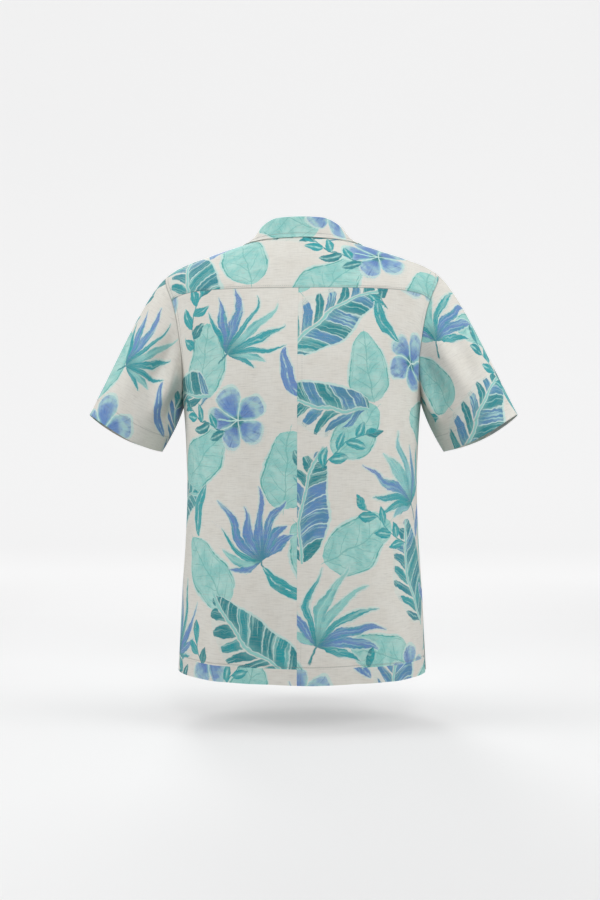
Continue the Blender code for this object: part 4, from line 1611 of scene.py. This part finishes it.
STITCH_FORM = np.array(
    [[-0.5, 0, 0]]
    + [[-0.28, side, up] for side, up in ((0.5, 0), (0, 0.8), (-0.5, 0), (0, -0.4))]
    + [[0.28, side, up] for side, up in ((0.5, 0), (0, 0.8), (-0.5, 0), (0, -0.4))]
    + [[0.5, 0, 0]]
)
STITCH_FACES = (
    [(0, 1 + (i + 1) % 4, 1 + i) for i in range(4)]
    + [(1 + i, 1 + (i + 1) % 4, 5 + (i + 1) % 4, 5 + i) for i in range(4)]
    + [(9, 5 + i, 5 + (i + 1) % 4) for i in range(4)]
)


def stitches(name, node, lines, step=STITCH_STEP, long=STITCH_LONG, turn=0.0):
    """Rows of single stitches, each a small bar of thread sunk into the cloth."""
    points, faces = [], []
    for line in lines:
        reach = lengths(line[:, :3])
        count = max(int(reach[-1] / step), 1)
        middles = (np.arange(count) + 0.5) * reach[-1] / count
        at, ahead = (
            np.stack([np.interp(middles + off, reach, column) for column in line.T], -1)
            for off in (0.0, STITCH_AHEAD)
        )
        along = ahead[:, :3] - at[:, :3]
        along /= np.linalg.norm(along, axis=1)[:, None]
        up = at[:, 3:] / np.linalg.norm(at[:, 3:], axis=1)[:, None]
        side = np.cross(up, along)
        along, side = (
            along * math.cos(turn) + side * math.sin(turn),
            side * math.cos(turn) - along * math.sin(turn),
        )
        form = STITCH_FORM * (long, THREAD, THREAD)
        for middle, a, b, c in zip(at[:, :3], along, side, up):
            faces += [tuple(len(points) + i for i in face) for face in STITCH_FACES]
            points += list(middle + form @ np.stack([a, b, c]))
    piece = new_piece(name, [tuple(point) for point in points], faces, thread_grey)
    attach(piece, "root")
    node + "_cloth"
    return piece


def thread_finish():
    """Spun sewing thread, paler where its plies catch the light."""
    material, b, finish = new_material("sewing_thread")
    plies = b.step(b.noise(b.spot(), 3200.0, 1.0), 0.35, 0.65)
    inputs = {
        "Base Color": b.colour(plies, THREAD_GREY, THREAD_PALE),
        "Roughness": 0.55 + plies * 0.15,
        "Normal": b.bump(0.4, 0.00005, plies),
        "Sheen Weight": 0.2,
    }
    b.fill(finish, inputs)
    return material


thread_grey = thread_finish()


def body_lines(grid, front_edge):
    hem, _, first, last = reaches(grid)
    side, centre = (first, last) if grid[0, 0, 0] > grid[0, -1, 0] else (last, first)
    above, vent = slice(ARMHOLE_FROM, None), slice(0, VENT_UPTO)
    lines = [
        line_at(grid, hem, HEM_FOLD, False),
        line_at(grid[above], side[above], ARMHOLE_STITCH, True),
        line_at(grid[vent], side[vent], FRONT_STITCH, True),
    ]
    if front_edge:
        lines.append(line_at(grid[:FRONT_UPTO], centre[:FRONT_UPTO], FRONT_STITCH, True))
    return lines


def yoke_lines(grid):
    start, end, low, over = reaches(grid)
    lines = [line_at(grid, low, YOKE_STITCH, True)]
    if not behind_neck(grid):
        lines.append(line_at(grid, over, YOKE_STITCH, True))
        outer = end if grid[-1, 0, 0] > 0 else start
        lines.append(line_at(grid, outer, ARMHOLE_STITCH, False))
    return lines


def collar_lines(grid, leaf):
    start, end, _, fall = reaches(grid)
    lines = [line_at(grid, fall, COLLAR_STITCH, True)]
    if leaf:
        lines.append(line_at(grid, start if leaf > 0 else end, COLLAR_STITCH, False))
    return lines


def lapel_lines(grid):
    return [line_at(grid, reaches(grid)[3], COLLAR_STITCH, True)]


def hem_lines(grid):
    return [line_at(grid, reaches(grid)[1], HEM_FOLD, False)]


SEWN_LINES = {
    "back_left": body_lines(back, False),
    "back_right": body_lines(right_back, False),
    "yoke": sum((yoke_lines(grid) for grid in yoke), []),
    "front_left": body_lines(left, True),
    "front_right": body_lines(right, True),
    "sleeve_left": hem_lines(sleeve),
    "sleeve_right": hem_lines(right_sleeve),
    "collar": sum((collar_lines(*leaf) for leaf in zip(collar, COLLAR_LEAVES)), []),
    "lapel_left": lapel_lines(lapel_left),
    "lapel_right": lapel_lines(lapel_right),
}
sewing = {name: [stitches(name + "_stitches", name, rows)] for name, rows in SEWN_LINES.items()}


# Buttons and buttonholes


def shell_finish():
    """Shell, clouded in layers and glossy."""
    material, b, finish = new_material("button_shell")
    spot = b.spot()
    across, _, up = b.parts(spot)
    bent = b.noise(spot, 260.0, 2.0)
    layers = b.math("SINE", across * 900.0 + up * 1500.0 + bent * 9.0)
    cloud = b.step(layers * 0.35 + bent, 0.2, 0.9)
    inputs = {
        "Base Color": b.colour(cloud, SHELL_PALE, SHELL_GREY),
        "Roughness": 0.22 + cloud * 0.14,
        "Normal": b.bump(0.15, 0.00004, b.noise(spot, 2400.0)),
        "Coat Weight": 0.35,
        "Coat Roughness": 0.12,
        "Subsurface Weight": 0.1,
        "Subsurface Scale": 0.001,
    }
    b.fill(finish, inputs)
    return material


def select_faces(mesh, wanted):
    """Selects the faces that a test picks, and nothing else."""
    bpy.ops.object.mode_set(mode="OBJECT")
    for part in (mesh.vertices, mesh.edges, mesh.polygons):
        part.foreach_set("select", [False] * len(part))
    for face in mesh.polygons:
        face.select = wanted(face)
    bpy.ops.object.mode_set(mode="EDIT")


def turned_button():
    """One button: a rounded rim, a shallow well and four holes, standing on the origin."""
    bpy.ops.object.select_all(action="DESELECT")
    bpy.ops.mesh.primitive_cylinder_add(
        vertices=BUTTON_SIDES,
        radius=BUTTON_RADIUS,
        depth=BUTTON_THICK,
        location=(0, 0, BUTTON_THICK / 2),
    )
    button = bpy.context.object
    bpy.ops.object.transform_apply()
    select_faces(button.data, lambda face: face.normal.z > 0.9)
    bpy.ops.mesh.inset(thickness=BUTTON_RADIUS - BUTTON_WELL)
    bpy.ops.mesh.inset(thickness=WELL_DEEP)
    bpy.ops.transform.translate(value=(0, 0, -WELL_DEEP))
    bpy.ops.object.mode_set(mode="OBJECT")
    rounded = button.modifiers.new("rounded", "BEVEL")
    rounded.width, rounded.segments = BUTTON_BEVEL, BEVEL_STEPS
    rounded.limit_method, rounded.angle_limit = "ANGLE", BEVEL_ANGLE
    bpy.ops.object.modifier_apply(modifier=rounded.name)
    drills = []
    for x, y in ((1, 1), (1, -1), (-1, -1), (-1, 1)):
        bpy.ops.mesh.primitive_cylinder_add(
            vertices=HOLE_SIDES,
            radius=HOLE_RADIUS,
            depth=4 * BUTTON_THICK,
            location=(x * HOLE_ASIDE, y * HOLE_ASIDE, 0),
        )
        drills.append(bpy.context.object)
    for drill in drills:
        hole = button.modifiers.new("hole", "BOOLEAN")
        hole.object, hole.solver = drill, "EXACT"
        bpy.context.view_layer.objects.active = button
        bpy.ops.object.modifier_apply(modifier=hole.name)
        bpy.data.objects.remove(drill)
    bpy.ops.object.select_all(action="DESELECT")
    button.select_set(True)
    bpy.ops.object.shade_smooth_by_angle(angle=BUTTON_SHARP)
    button.data.materials.clear()
    button.data.materials.append(shell_finish())
    return button


def button_seat(number):
    """Where a button lies on the left front, and the way out from it."""
    hit, normal = found_on_front(0, FIRST_BUTTON_Z - number * BUTTON_STEP, body)
    return Matrix.Translation(hit + normal * BUTTON_CLEAR) @ normal.to_track_quat(
        "Z", "Y"
    ).to_matrix().to_4x4()


def set_buttons():
    first = turned_button()
    for number in range(BUTTON_COUNT):
        button = first.copy()
        button.data = first.data.copy()
        button.name = button.data.name = f"button_{number + 1}_piece"
        bpy.context.scene.collection.objects.link(button)
        button.data.transform(button_seat(number))
        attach(button, "root")
        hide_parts(f"button_{number + 1}")
    bpy.data.objects.remove(first)


def button_threads():
    """Two bars of thread in each button's well, from hole to hole."""
    lines = []
    height = BUTTON_THICK - WELL_DEEP + THREAD * THREAD_SUNK
    for number in range(BUTTON_COUNT):
        seat = button_seat(number)
        out = seat.to_3x3() @ Vector((0, 0, 1))
        for side in (-1, 1):
            half = THREAD_REACH * BUTTON_THREAD / 2
            ends = [seat @ Vector((side * HOLE_ASIDE, end, height)) for end in (-half, half)]
            lines.append(np.array([[*end, *out] for end in ends]))
    return lines


def buttonholes():
    """Bars of thread worked close together round each buttonhole."""
    lines = []
    for number in range(BUTTON_COUNT):
        middle = FIRST_BUTTON_Z - number * BUTTON_STEP
        for side in (-1, 1):
            line = []
            low, high = middle - BUTTONHOLE_HALF, middle + BUTTONHOLE_HALF
            for z in np.linspace(low, high, BUTTONHOLE_POINTS):
                hit, normal = found_on_front(side * BUTTONHOLE_WIDE, z, body)
                line.append([*hit, *normal])
            lines.append(np.array(line))
    return lines


set_buttons()
sewing["front_left"] += [
    stitches("buttonhole_stitches", "front_left", buttonholes(), BAR_STEP, BAR_LONG, math.pi / 2),
    stitches("button_threads", "front_left", button_threads(), BUTTON_THREAD, BUTTON_THREAD),
]


# Stage

FLOOR_Z = -0.755
CAMERA_AWAY = 2.0
CAMERA_ROUND = math.radians(3)
CAMERA_ASIDE = 0.0032
CAMERA_HEIGHT = -0.331
NEAR_GLOW = 0.43
FLOOR_GLOW = 0.49
FAR_GLOW = 0.73
ROOM_LIGHT = (0.36, 0.36, 0.365, 1)
ROOM_SEEN = (0.84, 0.84, 0.84, 1)
AIM = (0, 0, -0.35)
LIGHTS = (  # each light's name, place, width, depth, power in watts, and spread in degrees
    ("overhead", (0.0, 0.15, 2.4), 2.8, 0.5, 13, 180),
    ("behind_camera", (-0.5, 2.6, 1.5), 1.2, 1.2, 3.9, 70),
    ("before_shirt", (0.8, -2.8, 1.4), 1.4, 1.4, 7, 60),
    ("left_side", (2.2, 0.8, 0.6), 1.4, 1.4, 23, 180),
    ("right_side", (-2.2, 0.8, 0.6), 1.4, 1.4, 22, 180),
)
FLOOR_SWEEP, FLOOR_BACK, FLOOR_FRONT = 2.5, 3.5, 5.0
FLOOR_SIDE, FLOOR_TOP = 7.0, 6.0


def set_camera():
    """A level camera behind the shirt, a little to the wearer's right."""
    sine, cosine = math.sin(CAMERA_ROUND), math.cos(CAMERA_ROUND)
    place = (
        CAMERA_ASIDE * cosine - CAMERA_AWAY * sine,
        CAMERA_AWAY * cosine + CAMERA_ASIDE * sine,
        CAMERA_HEIGHT,
    )
    bpy.ops.object.camera_add(location=place, rotation=(math.pi / 2, 0, math.pi + CAMERA_ROUND))
    camera = bpy.context.object
    camera.data.lens = 50
    camera.data.sensor_width = 36
    bpy.context.scene.camera = camera


def grey(light):
    return (light, light, light, 1.0)


def stage_finish():
    """A pale matt floor, with the glow of a lit paper sweep where the camera sees it."""
    material, b, finish = new_material("pale_floor")
    spot = b.spot()
    behind = b.parts(spot)[1]
    near, middle, far = (grey(glow) for glow in (NEAR_GLOW, FLOOR_GLOW, FAR_GLOW))
    glow = b.coats(middle, (b.step(behind, -0.55, -2.4), far), (b.step(behind, -0.3, 0.1), near))
    inputs = {
        "Base Color": b.colour(b.noise(spot, 3.0), FLOOR_PALE, FLOOR_PALER),
        "Emission Color": b.colour(b.seen(), grey(0.0), glow),
        "Emission Strength": 1.0,
        "Roughness": 1.0,
        "Specular IOR Level": 0.0,
    }
    b.fill(finish, inputs)
    return material


def set_floor():
    """A floor that sweeps up behind the shirt, out of the camera's sight."""
    profile = [(FLOOR_FRONT, FLOOR_Z)]
    for turn in np.linspace(0, math.pi / 2, 25):
        back, up = FLOOR_SWEEP * math.sin(turn), FLOOR_SWEEP * (1 - math.cos(turn))
        profile.append((-FLOOR_BACK - back, FLOOR_Z + up))
    profile.append((-FLOOR_BACK - FLOOR_SWEEP, FLOOR_TOP))
    grid = np.array([[(x, y, z) for y, z in profile] for x in (-FLOOR_SIDE, FLOOR_SIDE)])
    cells = cells_of(grid)[:, ::-1].tolist()
    floor = new_piece("floor", grid.reshape(-1, 3), cells, stage_finish())


def set_light(name, place, wide, deep, power, spread):
    bpy.ops.object.light_add(type="AREA", location=place)
    light = bpy.context.object
    light.name = name
    light.data.shape = "ELLIPSE"
    light.data.size, light.data.size_y = wide, deep
    light.data.energy = power
    light.data.spread = math.radians(spread)
    aim = Vector(AIM) - Vector(place)
    light.rotation_euler = aim.to_track_quat("-Z", "Y").to_euler()


set_camera()
set_floor()
for light in LIGHTS:
    set_light(*light)
world = bpy.data.worlds.new("studio")
bpy.context.scene.world = world
world.use_nodes = True
bench = Bench(world.node_tree)
room = bench.colour(bench.seen(), ROOM_LIGHT, ROOM_SEEN)
bench.fill(world.node_tree.nodes["Background"], {"Color": room})
bpy.context.scene.view_settings.view_transform = "Standard"
